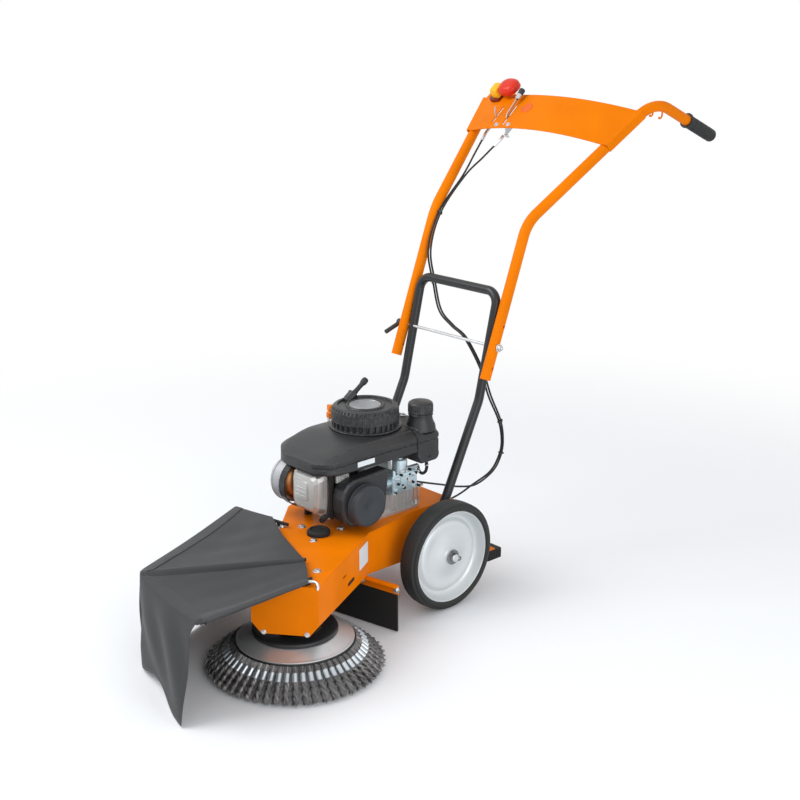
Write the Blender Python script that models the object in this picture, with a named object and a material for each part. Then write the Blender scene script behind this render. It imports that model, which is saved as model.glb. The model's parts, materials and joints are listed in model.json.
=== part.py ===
"""Walk-behind weed brush machine: a two-wheeled frame with a vertical-shaft engine, a belt drive in a
folded side arm, a rotating twisted-knot wire brush, a cloth hood on steel rods and a two-tube handlebar.

Metres, +Z up. The operator stands on the +Y side, the brush works on the -Y side, +X is the operator's
left. The wheels and the brush stand on Z = 0. Every piece hangs under the empty "machine", which puts the
origin under the middle of the whole machine.
"""

import math

import bmesh
import bpy
from mathutils import Matrix, Quaternion, Vector

# Clearances
GAP = 0.0003
RUNNING = 0.0005

# Wheels and axle
WHEEL_RADIUS = 0.140
WHEEL_TRACK = 0.432
TYRE_WIDTH = 0.054
RIM_RADIUS = 0.1195
RIM_SHEET = 0.0028
HUB_RADIUS = 0.018
HUB_LENGTH = 0.047
WHEEL_SIDES = 32
AXLE_RADIUS = 0.010
AXLE_COLLAR_RADIUS = 0.015
AXLE_TIP = 0.012

# Folded deck and its side arm
SHEET = 0.003
DECK_TOP = 0.240
DECK_HALF_WIDTH = 0.129
DECK_REAR = 0.105
DECK_WAIST_Y = -0.030
REAR_WALL_LOW = 0.112
ARM_WALL_LOW = 0.147
ARM_PLATE_LOW = 0.120
ARM_CHAMFER = 0.022
ARM_ANGLE = math.radians(38.5)
ARM_REACH = 0.091
ARM_END_WIDTH = 0.156
SHOULDER = (0.158, -0.209)
FAR_CORNER = (-0.015, -0.346)
FAR_CHAMFER = (-0.112, -0.247)
FOLD_RADIUS = 0.004
BASE_PLATE_LOW = 0.150
BASE_PLATE = 0.004
CRANK_HOLE_RADIUS = 0.021
CABLE_PORT = (0.070, 0.205)
CABLE_PORT_RADIUS = 0.010
ACCESS_HOLE = (0.085, -0.305)
ACCESS_HOLE_RADIUS = 0.020
ACCESS_CAP_RADIUS = 0.0285
ACCESS_CAP_HEIGHT = 0.013

# Brush and spindle
BRUSH_X = 0.208
BRUSH_Y = -0.4775
BRUSH_RADIUS = 0.210
BRUSH_KNOTS = 56
KNOT_WIDTH = 0.0085
KNOT_TIP_WIDTH = 0.0125
KNOT_TWIST = math.radians(150)
BRUSH_TIP_HEIGHT = 0.0066
DISC_RADIUS = 0.138
DISC_RIM_HEIGHT = 0.074
DISC_TOP = 0.089
DISC_SHEET = 0.003
HUB_DISC_RADIUS = 0.100
HUB_DISC_HEIGHT = 0.010
SPINDLE_RADIUS = 0.0125
BEARING_RADIUS = 0.026
BEARING_WIDTH = 0.030
HOUSING_RADIUS = 0.038
HOUSING_FLANGE_RADIUS = 0.058
HOUSING_FLANGE = 0.006

# Belt drive
CRANK_X = 0.020
CRANK_Y = -0.097
CRANK_RADIUS = 0.0125
BELT_LEVEL = 0.196
BELT_WIDTH = 0.010
BELT_THICK = 0.006
PULLEY_WIDTH = 0.018
BRUSH_PULLEY_RADIUS = 0.066
ENGINE_PULLEY_RADIUS = 0.034
IDLER_RADIUS = 0.021
IDLER_ALONG = 0.200
IDLER_ASIDE = 0.058
IDLER_PIVOT = (-0.028, -0.262)
IDLER_ARM_WIDTH = 0.022
IDLER_ARM_THICK = 0.004
IDLER_PIN_RADIUS = 0.006

# Stone flap and foot step
FLAP_THICK = 0.005
FLAP_LOW = 0.004
FLAP_TOP = 0.116
FLAP_INNER_X = 0.050
FLAP_OUTER_X = 0.250
FLAP_OUTER_Y = -0.198
FLAP_ANGLE = math.radians(12)
STEP_PAD_X = 0.186
STEP_PAD_Y = 0.186
STEP_PAD_TOP = 0.108

# Engine
COWL_LOW = 0.398
COWL_CREASE = 0.436
COWL_TOP = 0.457
COWL_NEAR = 0.142
COWL_FAR = -0.097
COWL_FRONT = -0.322
COWL_REAR = -0.030
TANK_REAR = 0.054
TANK_LOW = 0.366
RECOIL_RADIUS = 0.0855
RECOIL_TOP = 0.513
RECOIL_SLOTS = 32
STARTER_SLOPE = 0.62
FILLER_X = 0.104
FILLER_Y = 0.014
FILLER_RADIUS = 0.026
CAP_RADIUS = 0.032
CAP_LOW = 0.488
CAP_TOP = 0.518
CRANKCASE_TOP = 0.302
DIPSTICK_SEAT = 0.446
CYLINDER_TOP = 0.393
CYLINDER_LOW = 0.276
CYLINDER_REAR = -0.186
CYLINDER_FRONT = -0.278
FINS = 7
VALVE_COVER_DEPTH = 0.030
MUFFLER_RADIUS = 0.058
MUFFLER_LENGTH = 0.054
MUFFLER_X = -0.073
MUFFLER_Y = -0.262
MUFFLER_Z = 0.333
FILTER_Y = -0.214
FILTER_Z = 0.312
FILTER_RADIUS = 0.052
FILTER_FACE = 0.174
CARB_INNER_X = 0.0885
CARB_OUTER_X = 0.130
CARB_FRONT_Y = -0.104
CARB_REAR_Y = -0.022
CARB_TOP = 0.350
CARB_BOWL_TOP = 0.384

# Handlebar
LEG_RADIUS = 0.012
LEG_X = 0.1415
TUBE_RADIUS = 0.014
TUBE_X = 0.1680
HANDLE_REACH = 0.6905
HANDLE_SPREAD = 0.291
ROD_Y = 0.2115
ROD_Z = 0.633
ROD_RADIUS = 0.004
HOLE_PITCH = 0.055
PANEL_SHEET = 0.003
PANEL_HALF_LENGTH = 0.0635
PANEL_PLACE = 0.738
THROTTLE_X = -0.108
SECOND_SLOT_X = -0.158
STOP_BOX_X = -0.213
STOP_BOX_V = 0.052
PANEL_RISE = 0.028
GRIP_RADIUS = 0.0175
GRIP_LENGTH = 0.122
CABLE_RADIUS = 0.0026
HANDLE_PIVOT = Vector((0, ROD_Y, ROD_Z))
TUBE_FOOT = HANDLE_PIVOT + Vector((TUBE_X, -0.0335, -0.080))
TUBE_BEND = HANDLE_PIVOT + Vector((TUBE_X, 0.1085, 0.305))
TUBE_CREST = HANDLE_PIVOT + Vector((0.281, 0.4565, 0.596))
TUBE_END = HANDLE_PIVOT + Vector((HANDLE_SPREAD, HANDLE_REACH, 0.492))
LEG_FOOT = Vector((LEG_X, 0.029, 0.170))
LEG_KNEE = HANDLE_PIVOT + Vector((LEG_X, -0.0275, -0.141))
LEG_TOP = HANDLE_PIVOT + Vector((LEG_X, 0.036, 0.132))

# Hood
HOOD_ROD_RADIUS = 0.004
CLOTH = 0.004
ROD_LIFT = 0.0064
ROD_FOOT = 0.010
HOOD_EDGE_Z = 0.2363
SKIRT_LOW = 0.004
HOOD_OVERHANG = 0.1045
HOOD_HUB = (BRUSH_X - 0.018, BRUSH_Y + 0.0275)
HOOD_FRONT_TIP = (BRUSH_X + 0.075, BRUSH_Y - BRUSH_RADIUS - HOOD_OVERHANG)
HOOD_CORNER = (BRUSH_X - BRUSH_RADIUS - 0.016, HOOD_FRONT_TIP[1] + 0.044)
HOOD_REAR_EDGE = (FAR_CORNER[0] - 0.037, FAR_CORNER[1] + 0.004)
HOOD_REAR_TIP = (FAR_CORNER[0] - 0.191, FAR_CORNER[1] + 0.010)
SKIRT_FRONT_FOOT = (HOOD_FRONT_TIP[0] - 0.012, HOOD_FRONT_TIP[1] - 0.041)

AXLE_Z = WHEEL_RADIUS
BRUSH_CENTRE = Vector((BRUSH_X, BRUSH_Y, 0))
CRANK_CENTRE = Vector((CRANK_X, CRANK_Y, 0))
ARM_FORWARD = Vector((math.sin(ARM_ANGLE), -math.cos(ARM_ANGLE), 0))
ARM_LEFT = Vector((math.cos(ARM_ANGLE), math.sin(ARM_ANGLE), 0))


def clear_scene():
    for old in list(bpy.data.objects):
        bpy.data.objects.remove(old, do_unlink=True)


clear_scene()
MACHINE = bpy.data.objects.new("machine", None)
bpy.context.scene.collection.objects.link(MACHINE)


def finish(name, colour, roughness, metallic=0.0):
    """A painted, moulded or bare metal surface."""
    made = bpy.data.materials.new(name)
    made.use_nodes = True
    shader = made.node_tree.nodes["Principled BSDF"]
    shader.inputs["Base Color"].default_value = (*colour, 1)
    shader.inputs["Roughness"].default_value = roughness
    shader.inputs["Metallic"].default_value = metallic
    made.diffuse_color = (*colour, 1)
    return made


ORANGE = (0.87, 0.20, 0.005)
BLACK = (0.045, 0.047, 0.050)
STEEL = (0.60, 0.61, 0.62)


def place(name, bm, colour, roughness=0.5, metallic=0.0, origin=(0, 0, 0), sharp=35):
    """Turns a closed bmesh, built in machine coordinates, into a named object with its own finish."""
    bmesh.ops.remove_doubles(bm, verts=bm.verts, dist=1e-6)
    bmesh.ops.recalc_face_normals(bm, faces=bm.faces)
    bmesh.ops.translate(bm, verts=bm.verts, vec=-Vector(origin))
    mesh = bpy.data.meshes.new(name)
    bm.to_mesh(mesh)
    bm.free()
    mesh.shade_smooth()
    mesh.set_sharp_from_angle(angle=math.radians(sharp))
    mesh.materials.append(finish(name, colour, roughness, metallic))
    obj = bpy.data.objects.new(name, mesh)
    obj.location = origin
    obj.parent = MACHINE
    bpy.context.scene.collection.objects.link(obj)
    return obj


def combine(obj, bm, operation):
    """Adds a Boolean with a hidden helper built in machine coordinates."""
    count = len(obj.modifiers)
    helper = place(f"{obj.name}_helper_{count}", bm, BLACK)
    helper.hide_render = True
    helper.display_type = "WIRE"
    modifier = obj.modifiers.new(f"{operation.lower()}_{count}", "BOOLEAN")
    modifier.operation = operation
    modifier.solver = "EXACT"
    modifier.object = helper
    return obj


def cut(obj, bm):
    return combine(obj, bm, "DIFFERENCE")


def fuse(obj, bm):
    return combine(obj, bm, "UNION")


def along(direction, at=(0, 0, 0), up=(0, 0, 1)):
    """A frame at a point whose local Z runs along a direction."""
    z = Vector(direction).normalized()
    side = Vector(up)
    if abs(z.dot(side)) > 0.99:
        side = Vector((0, 1, 0))
    x = side.cross(z).normalized()
    y = z.cross(x)
    frame = Matrix((x, y, z)).transposed().to_4x4()
    frame.translation = Vector(at)
    return frame


def bridge(bm, loops, cyclic=False):
    """Quads between neighbouring loops of equal length, with flat caps unless the row of loops closes."""
    count = len(loops[0])
    rows = len(loops) if cyclic else len(loops) - 1
    for i in range(rows):
        low, high = loops[i], loops[(i + 1) % len(loops)]
        for j in range(count):
            k = (j + 1) % count
            bm.faces.new((low[j], low[k], high[k], high[j]))
    if not cyclic:
        bm.faces.new(list(reversed(loops[0])))
        bm.faces.new(loops[-1])


def turned(profile, segments, frame, into=None, slot_rows=(), slot_depth=0.0, phase=0.0):
    """A solid of revolution about the frame's Z from a closed profile of (radius, height).

    The phase turns its corners on by a share of one segment; slots alternate along the rows named."""
    bm = into or bmesh.new()
    rings = []
    for row, (radius, height) in enumerate(profile):
        if radius < 1e-7:
            rings.append([bm.verts.new(frame @ Vector((0, 0, height)))])
            continue
        ring = []
        for i in range(segments):
            angle = 2 * math.pi * (i + phase) / segments
            reach = radius - (slot_depth if row in slot_rows and i % 2 else 0)
            corner = Vector((reach * math.cos(angle), reach * math.sin(angle), height))
            ring.append(bm.verts.new(frame @ corner))
        rings.append(ring)
    for i, low in enumerate(rings):
        high = rings[(i + 1) % len(rings)]
        if len(low) == 1 and len(high) == 1:
            continue
        for j in range(segments):
            k = (j + 1) % segments
            if len(low) == 1:
                bm.faces.new((low[0], high[k], high[j]))
            elif len(high) == 1:
                bm.faces.new((low[j], low[k], high[0]))
            else:
                bm.faces.new((low[j], low[k], high[k], high[j]))
    return bm


def disc(radius, low, high, segments, frame, bore=0.0, chamfer=0.0, into=None):
    """A washer, rod or round plate between two heights."""
    outer = [(radius, low), (radius, high)]
    if chamfer:
        outer = [(radius - chamfer, low), (radius, low + chamfer), (radius, high - chamfer),
                 (radius - chamfer, high)]
    inner = [(bore, high), (bore, low)]
    return turned(outer + inner, segments, frame, into)


def prism(outline, low, high, frame=Matrix(), into=None):
    """An outline in the frame's XY plane, extruded along its Z."""
    bm = into or bmesh.new()
    loops = [[bm.verts.new(frame @ Vector((x, y, z))) for x, y in outline] for z in (low, high)]
    bridge(bm, loops)
    return bm


def loft(sections, into=None):
    """A closed solid through sections of equally many points."""
    bm = into or bmesh.new()
    bridge(bm, [[bm.verts.new(Vector(p)) for p in section] for section in sections])
    return bm


def block(low, high, into=None):
    return prism([(low[0], low[1]), (high[0], low[1]), (high[0], high[1]), (low[0], high[1])],
                 low[2], high[2], into=into)


def rounded_outline(x0, x1, y0, y1, radius, steps=3):
    """A rectangle with round corners, counterclockwise."""
    points = []
    corners = ((x1 - radius, y0 + radius, -90), (x1 - radius, y1 - radius, 0),
               (x0 + radius, y1 - radius, 90), (x0 + radius, y0 + radius, 180))
    for cx, cy, start in corners:
        for i in range(steps + 1):
            angle = math.radians(start + 90 * i / steps)
            points.append((cx + radius * math.cos(angle), cy + radius * math.sin(angle)))
    return points


def corner_outline(corners, radii, steps=3):
    """A convex counterclockwise outline with its own round at each corner."""
    points = []
    for i, radius in enumerate(radii):
        here = Vector(corners[i])
        back = (Vector(corners[i - 1]) - here).normalized()
        ahead = (Vector(corners[(i + 1) % len(corners)]) - here).normalized()
        half = math.acos(max(-1.0, min(1.0, back.dot(ahead)))) / 2
        centre = here + (back + ahead).normalized() * (radius / math.sin(half))
        start = here + back * (radius / math.tan(half)) - centre
        turn = math.pi - 2 * half
        for k in range(steps + 1):
            angle = turn * k / steps
            points.append((centre.x + start.x * math.cos(angle) - start.y * math.sin(angle),
                           centre.y + start.x * math.sin(angle) + start.y * math.cos(angle)))
    return points


def inset_outline(points, distance):
    """A counterclockwise outline moved inwards by one distance, with mitred corners."""
    moved = []
    for i, here in enumerate(points):
        here = Vector(here)
        back = (here - Vector(points[i - 1])).normalized()
        ahead = (Vector(points[(i + 1) % len(points)]) - here).normalized()
        in_back = Vector((-back.y, back.x))
        in_ahead = Vector((-ahead.y, ahead.x))
        mitre = (in_back + in_ahead).normalized()
        moved.append(tuple(here + mitre * (distance / mitre.dot(in_back))))
    return moved


def bent_path(corners, radii, steps=5):
    """Straight runs through corner points, joined by arcs as a tube bender makes them."""
    path = [Vector(corners[0])]
    for i, radius in enumerate(radii, start=1):
        here = Vector(corners[i])
        back = (Vector(corners[i - 1]) - here).normalized()
        ahead = (Vector(corners[i + 1]) - here).normalized()
        half = back.angle(ahead) / 2
        centre = here + (back + ahead).normalized() * (radius / math.sin(half))
        start = here + back * (radius / math.tan(half)) - centre
        end = here + ahead * (radius / math.tan(half)) - centre
        turn = start.rotation_difference(end)
        for k in range(steps + 1):
            path.append(centre + Quaternion().slerp(turn, k / steps) @ start)
    path.append(Vector(corners[-1]))
    return path


def smooth_path(points, per_span=4):
    """A smooth curve through a cable's own route points."""
    points = [Vector(p) for p in points]
    padded = [2 * points[0] - points[1], *points, 2 * points[-1] - points[-2]]
    path = []
    for i in range(1, len(padded) - 2):
        a, b, c, d = padded[i - 1:i + 3]
        for k in range(per_span):
            t = k / per_span
            path.append(0.5 * (2 * b + (c - a) * t + (2 * a - 5 * b + 4 * c - d) * t * t
                               + (3 * b - 3 * c + d - a) * t ** 3))
    path.append(points[-1])
    return path


def tube_along(path, radius, sides, into=None):
    """A round bar swept along a path without twist, with flat ends."""
    bm = into or bmesh.new()
    loops = []
    side = None
    for i, here in enumerate(path):
        behind = path[max(i - 1, 0)]
        ahead = path[min(i + 1, len(path) - 1)]
        heading = (ahead - behind).normalized()
        if side is None:
            side = heading.orthogonal().normalized()
        side = (side - heading * side.dot(heading)).normalized()
        across = heading.cross(side)
        loops.append([bm.verts.new(here + radius * (side * math.cos(a) + across * math.sin(a)))
                      for a in (2 * math.pi * k / sides for k in range(sides))])
    bridge(bm, loops)
    return bm


def cable(name, route, colour=BLACK):
    """A sheathed control cable: a bevelled curve through its own smoothed route."""
    curve = bpy.data.curves.new(name, "CURVE")
    curve.dimensions = "3D"
    curve.bevel_depth = CABLE_RADIUS
    curve.bevel_resolution = 2
    curve.use_fill_caps = True
    path = smooth_path(route, 2)
    spline = curve.splines.new("POLY")
    spline.points.add(len(path) - 1)
    for point, here in zip(spline.points, path):
        point.co = (*here, 1)
    curve.materials.append(finish(name, colour, 0.45))
    obj = bpy.data.objects.new(name, curve)
    obj.parent = MACHINE
    bpy.context.scene.collection.objects.link(obj)
    return obj


def point_on(centre, forward=0.0, left=0.0, z=0.0):
    """A point measured from a centre along the arm's own directions."""
    return centre + ARM_FORWARD * forward + ARM_LEFT * left + Vector((0, 0, z))


def arm_front(left):
    """A corner of the arm's front plate."""
    return tuple(point_on(BRUSH_CENTRE, ARM_REACH, left).xy)


def deck_outline():
    """Corners of the folded deck seen from above, counterclockwise, each with its wall's lower edge."""
    half = ARM_END_WIDTH / 2
    middle = (REAR_WALL_LOW + ARM_WALL_LOW) / 2
    return [
        ((DECK_HALF_WIDTH, DECK_REAR), REAR_WALL_LOW),
        ((-DECK_HALF_WIDTH, DECK_REAR), REAR_WALL_LOW),
        ((-DECK_HALF_WIDTH, FAR_CHAMFER[1] + 0.04), REAR_WALL_LOW),
        (FAR_CHAMFER, middle),
        (FAR_CORNER, middle),
        (arm_front(-half), ARM_WALL_LOW),
        (arm_front(-half + ARM_CHAMFER), ARM_PLATE_LOW),
        (arm_front(half - ARM_CHAMFER), ARM_PLATE_LOW),
        (arm_front(half), ARM_WALL_LOW),
        (SHOULDER, middle),
        ((DECK_HALF_WIDTH, DECK_WAIST_Y), REAR_WALL_LOW),
    ]


def make_deck():
    """The folded and welded sheet-steel deck: top plate, side walls and the arm's front plate."""
    corners = deck_outline()
    outline = [point for point, _ in corners]
    inner = inset_outline(outline, SHEET)
    bm = bmesh.new()
    top = [bm.verts.new((x, y, DECK_TOP)) for x, y in outline]
    low = [bm.verts.new((*point, z)) for point, z in corners]
    low_in = [bm.verts.new((*point, z)) for point, (_, z) in zip(inner, corners)]
    top_in = [bm.verts.new((x, y, DECK_TOP - SHEET)) for x, y in inner]
    bridge(bm, [top, low, low_in, top_in])
    bm.edges.ensure_lookup_table()
    folds = [e for e in bm.edges if all(v in top for v in e.verts)]
    bmesh.ops.bevel(bm, geom=folds, offset=FOLD_RADIUS, segments=2, affect="EDGES", profile=0.5)
    deck = place("frame_deck", bm, ORANGE, 0.35, sharp=20)

    crank_hole = along((0, 0, 1), CRANK_CENTRE)
    openings = disc(CRANK_HOLE_RADIUS, DECK_TOP - 0.02, DECK_TOP + 0.02, 24, crank_hole)
    access = along((0, 0, 1), (*ACCESS_HOLE, 0))
    disc(ACCESS_HOLE_RADIUS, DECK_TOP - 0.02, DECK_TOP + 0.02, 20, access, into=openings)
    axle = along((1, 0, 0), (0, 0, AXLE_Z))
    disc(AXLE_RADIUS + RUNNING, -DECK_HALF_WIDTH - 0.02, DECK_HALF_WIDTH + 0.02, 16, axle, into=openings)
    slot_at = (Vector(SHOULDER) + Vector(arm_front(ARM_END_WIDTH / 2))) / 2
    run = (Vector(arm_front(ARM_END_WIDTH / 2)) - Vector(SHOULDER)).normalized()
    slot_frame = along((run.y, -run.x, 0), (*slot_at, DECK_TOP - 0.045))
    prism(rounded_outline(-0.011, 0.011, -0.0025, 0.0025, 0.002, 2), -0.01, 0.01, slot_frame, into=openings)
    cable_port = along((0, 1, 0), (CABLE_PORT[0], DECK_REAR, CABLE_PORT[1]))
    disc(CABLE_PORT_RADIUS, -0.02, 0.02, 12, cable_port, into=openings)
    cut(deck, openings)

    pin = along((0, 0, 1), (*IDLER_PIVOT, 0))
    fuse(deck, disc(IDLER_PIN_RADIUS, BELT_LEVEL - 0.012, DECK_TOP - SHEET + 0.001, 14, pin))
    fuse(deck, block((-0.053, -0.192, 0.220), (-0.037, -0.189, DECK_TOP - SHEET + 0.001)))
    return deck


def make_base_plate():
    """The arm's lower plate, which carries the spindle housing; a lip at its front is bolted to the arm."""
    inside = inset_outline([point for point, _ in deck_outline()], SHEET + GAP)
    arm = inside[4:6] + inside[8:10]
    bm = prism(arm, BASE_PLATE_LOW, BASE_PLATE_LOW + BASE_PLATE)
    plate = place("arm_base_plate", bm, BLACK, 0.5, 0.3)
    lip_half = ARM_END_WIDTH / 2 - ARM_CHAMFER
    lip_out = ARM_REACH - SHEET - 3 * GAP
    lip_in = lip_out - SHEET
    lip = [point_on(BRUSH_CENTRE, forward, left).xy for forward, left in
           ((lip_in, -lip_half), (lip_out, -lip_half), (lip_out, lip_half), (lip_in, lip_half))]
    fuse(plate, prism(lip, ARM_PLATE_LOW + 0.003, BASE_PLATE_LOW + BASE_PLATE / 2))
    shaft_hole = disc(SPINDLE_RADIUS + 0.003, BASE_PLATE_LOW - 0.01, BASE_PLATE_LOW + 0.02, 20,
                      along((0, 0, 1), BRUSH_CENTRE))
    cut(plate, shaft_hole)
    return plate


def make_access_cap():
    """The rubber plug over the hole above the tension pulley."""
    skirt = ACCESS_HOLE_RADIUS - GAP
    seat = DECK_TOP + GAP
    top = DECK_TOP + ACCESS_CAP_HEIGHT
    profile = [(0, seat - 0.008), (skirt - 0.002, seat - 0.008), (skirt, seat - 0.005), (skirt, seat),
               (ACCESS_CAP_RADIUS, seat), (ACCESS_CAP_RADIUS, top - 0.004), (ACCESS_CAP_RADIUS - 0.004, top),
               (ACCESS_CAP_RADIUS - 0.008, top), (ACCESS_CAP_RADIUS - 0.010, top - 0.003), (0, top - 0.003)]
    return place("belt_access_cap", turned(profile, 28, along((0, 0, 1), (*ACCESS_HOLE, 0))), BLACK, 0.7)


def wheel_frame(side):
    return along((side, 0, 0), (side * WHEEL_TRACK / 2, 0, AXLE_Z))


def make_tyre(name, side):
    """The solid rubber tyre: rounded shoulders, a bead over the rim and one tread flat on the ground."""
    half = TYRE_WIDTH / 2
    seat = RIM_RADIUS
    tread = WHEEL_RADIUS / math.cos(math.pi / WHEEL_SIDES)
    right = [(tread, 0.010), (tread - 0.0018, 0.018), (tread - 0.007, half - 0.001),
             (seat + 0.006, half), (seat, half - 0.004)]
    profile = right + [(r, -h) for r, h in reversed(right)]
    return place(name, turned(profile, WHEEL_SIDES, wheel_frame(side), phase=0.5), BLACK, 0.8, 0,
                 (side * WHEEL_TRACK / 2, 0, AXLE_Z), 50)


def make_rim(name, side):
    """The pressed steel wheel disc: barrel, stepped dish and hub tube in one turned shape."""
    barrel = RIM_RADIUS - GAP
    edge = TYRE_WIDTH / 2 - 0.006
    bore = AXLE_RADIUS + RUNNING
    hub = HUB_LENGTH / 2
    t = RIM_SHEET
    profile = [
        (barrel, edge), (barrel - t, edge), (0.106, 0.006), (0.097, 0.002), (0.088, 0.007), (0.062, 0.005),
        (HUB_RADIUS, 0.015), (HUB_RADIUS, hub), (bore, hub), (bore, -hub), (HUB_RADIUS, -hub),
        (HUB_RADIUS, 0.011), (0.062, 0.001), (0.088, 0.003), (0.098, -0.002), (barrel - t, -edge),
        (barrel, -edge),
    ]
    return place(name, turned(profile, WHEEL_SIDES, wheel_frame(side), phase=0.5), STEEL, 0.35, 0.6,
                 (side * WHEEL_TRACK / 2, 0, AXLE_Z), 25)


def make_axle():
    """One steel axle through both deck walls, with a collar from each wall to its hub."""
    wall = DECK_HALF_WIDTH + GAP
    collar = WHEEL_TRACK / 2 - HUB_LENGTH / 2 - GAP
    tip = WHEEL_TRACK / 2 + HUB_LENGTH / 2 + AXLE_TIP
    half = [(AXLE_RADIUS, wall), (AXLE_COLLAR_RADIUS, wall), (AXLE_COLLAR_RADIUS, collar),
            (AXLE_RADIUS, collar), (AXLE_RADIUS, tip - 0.0015), (AXLE_RADIUS - 0.0015, tip)]
    profile = [(0, -tip)] + [(r, -h) for r, h in reversed(half)] + half + [(0, tip)]
    return place("axle", turned(profile, 20, along((1, 0, 0), (0, 0, AXLE_Z))), STEEL, 0.3, 0.9)


def knot_ring():
    """The clamped ring of the brush with its twisted wire knots, grown straight out of the ring's wall."""
    bm = bmesh.new()
    inner, outer = DISC_RADIUS - 0.010, DISC_RADIUS + 0.002
    ring_top = DISC_RIM_HEIGHT - DISC_SHEET - GAP
    ring_low = ring_top - KNOT_WIDTH * 1.1
    cells = 2 * BRUSH_KNOTS
    rows = [(inner, ring_low), (outer, ring_low), (outer, ring_top), (inner, ring_top)]
    rings = []
    for radius, height in rows:
        ring = []
        for i in range(cells):
            angle = 2 * math.pi * (i - 0.5) / cells
            ring.append(bm.verts.new(BRUSH_CENTRE
                                     + Vector((radius * math.cos(angle), radius * math.sin(angle), height))))
        rings.append(ring)
    for row in range(4):
        low, high = rings[row], rings[(row + 1) % 4]
        for i in range(cells):
            k = (i + 1) % cells
            if row == 1 and i % 2 == 0:
                add_knot(bm, (low[i], low[k], high[k], high[i]), 2 * math.pi * i / cells)
            else:
                bm.faces.new((low[i], low[k], high[k], high[i]))
    return bm


def add_knot(bm, root, angle):
    """One knot: slim where the wires leave the ring, bound by a collar, then twisted and flaring."""
    outward = Vector((math.cos(angle), math.sin(angle), 0))
    start = sum((v.co for v in root), Vector()) / 4
    tip = BRUSH_CENTRE + outward * (BRUSH_RADIUS - 0.006) + Vector((0, 0, BRUSH_TIP_HEIGHT))
    run = tip - start
    along_knot = run.normalized()
    across = Vector((0, 0, 1)).cross(outward).normalized()
    above = across.cross(along_knot).normalized()
    loop = list(root)
    stations = ((0.13, 1.25, 0.0), (0.27, 1.25, 0.0), (0.33, 0.85, 0.1), (0.66, 1.05, 0.55),
                (1.0, KNOT_TIP_WIDTH / KNOT_WIDTH, 1.0))
    for share, scale, turn in stations:
        middle = start + run * share
        size = KNOT_WIDTH / 2 * scale
        spin = KNOT_TWIST * turn
        corners = []
        for sx, sz in ((-1, -1), (1, -1), (1, 1), (-1, 1)):
            x = size * (sx * math.cos(spin) - sz * math.sin(spin))
            z = size * (sx * math.sin(spin) + sz * math.cos(spin))
            corners.append(bm.verts.new(middle + across * x + above * z))
        for i in range(4):
            k = (i + 1) % 4
            bm.faces.new((loop[i], loop[k], corners[k], corners[i]))
        loop = corners
    bm.faces.new(loop)


def make_brush():
    up = along((0, 0, 1), BRUSH_CENTRE)
    place("wire_brush", knot_ring(), (0.16, 0.16, 0.16), 0.45, 0.7, BRUSH_CENTRE, 25)

    bore = SPINDLE_RADIUS + GAP
    top = DISC_TOP
    flat = HUB_DISC_RADIUS - 0.004
    rim = DISC_RIM_HEIGHT
    profile = [(bore, top), (flat, top), (DISC_RADIUS - 0.004, rim), (DISC_RADIUS, rim),
               (DISC_RADIUS, rim - DISC_SHEET), (DISC_RADIUS - 0.005, rim - DISC_SHEET),
               (flat - 0.002, top - DISC_SHEET), (bore, top - DISC_SHEET)]
    place("brush_disc", turned(profile, 36, up), (0.62, 0.62, 0.62), 0.4, 0.5, BRUSH_CENTRE)

    low = DISC_TOP + GAP
    high = low + HUB_DISC_HEIGHT
    outer = HUB_DISC_RADIUS
    profile = [(bore, low), (outer, low), (outer, high - 0.003), (outer - 0.003, high), (0.060, high),
               (0.056, high - 0.003), (0.030, high - 0.003), (0.027, high), (bore, high)]
    place("brush_hub", turned(profile, 32, up), BLACK, 0.45, 0.2, BRUSH_CENTRE)

    shaft_top = BELT_LEVEL + PULLEY_WIDTH / 2 + 0.008
    nut_top = DISC_TOP - DISC_SHEET - GAP
    profile = [(0, nut_top - 0.016), (0.009, nut_top - 0.016), (0.010, nut_top - 0.012),
               (0.016, nut_top - 0.012), (0.016, nut_top - 0.003), (0.022, nut_top - 0.003), (0.022, nut_top),
               (SPINDLE_RADIUS, nut_top), (SPINDLE_RADIUS, shaft_top - 0.002),
               (SPINDLE_RADIUS - 0.002, shaft_top), (0, shaft_top)]
    place("spindle_shaft", turned(profile, 20, up), STEEL, 0.3, 0.9, BRUSH_CENTRE)


def housing_levels():
    """Heights of the spindle housing's foot and of its bearing seats."""
    low = DISC_TOP + GAP + HUB_DISC_HEIGHT + 0.002
    high = BASE_PLATE_LOW - GAP
    return low, high


def make_housing():
    up = along((0, 0, 1), BRUSH_CENTRE)
    low, high = housing_levels()
    seat = BEARING_RADIUS + GAP
    lip = SPINDLE_RADIUS + 0.004
    flange = high - HOUSING_FLANGE
    profile = [
        (lip, low), (HOUSING_RADIUS - 0.002, low), (HOUSING_RADIUS, low + 0.003),
        (HOUSING_RADIUS, flange - 0.004), (HOUSING_RADIUS + 0.004, flange), (HOUSING_FLANGE_RADIUS, flange),
        (HOUSING_FLANGE_RADIUS, high), (seat, high), (seat, low + 0.004), (lip, low + 0.004),
    ]
    place("spindle_housing", turned(profile, 24, up), BLACK, 0.5, 0.4)
    base = low + 0.004 + GAP
    top = base + BEARING_WIDTH
    inner_ring, outer_ring = SPINDLE_RADIUS + 0.004, BEARING_RADIUS - 0.004
    bore = SPINDLE_RADIUS + GAP
    race = [(bore, base), (BEARING_RADIUS, base), (BEARING_RADIUS, top), (outer_ring, top),
            (outer_ring, top - 0.002), (inner_ring, top - 0.002), (inner_ring, top), (bore, top)]
    place("spindle_bearing", turned(race, 20, up), STEEL, 0.25, 0.9)


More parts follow.
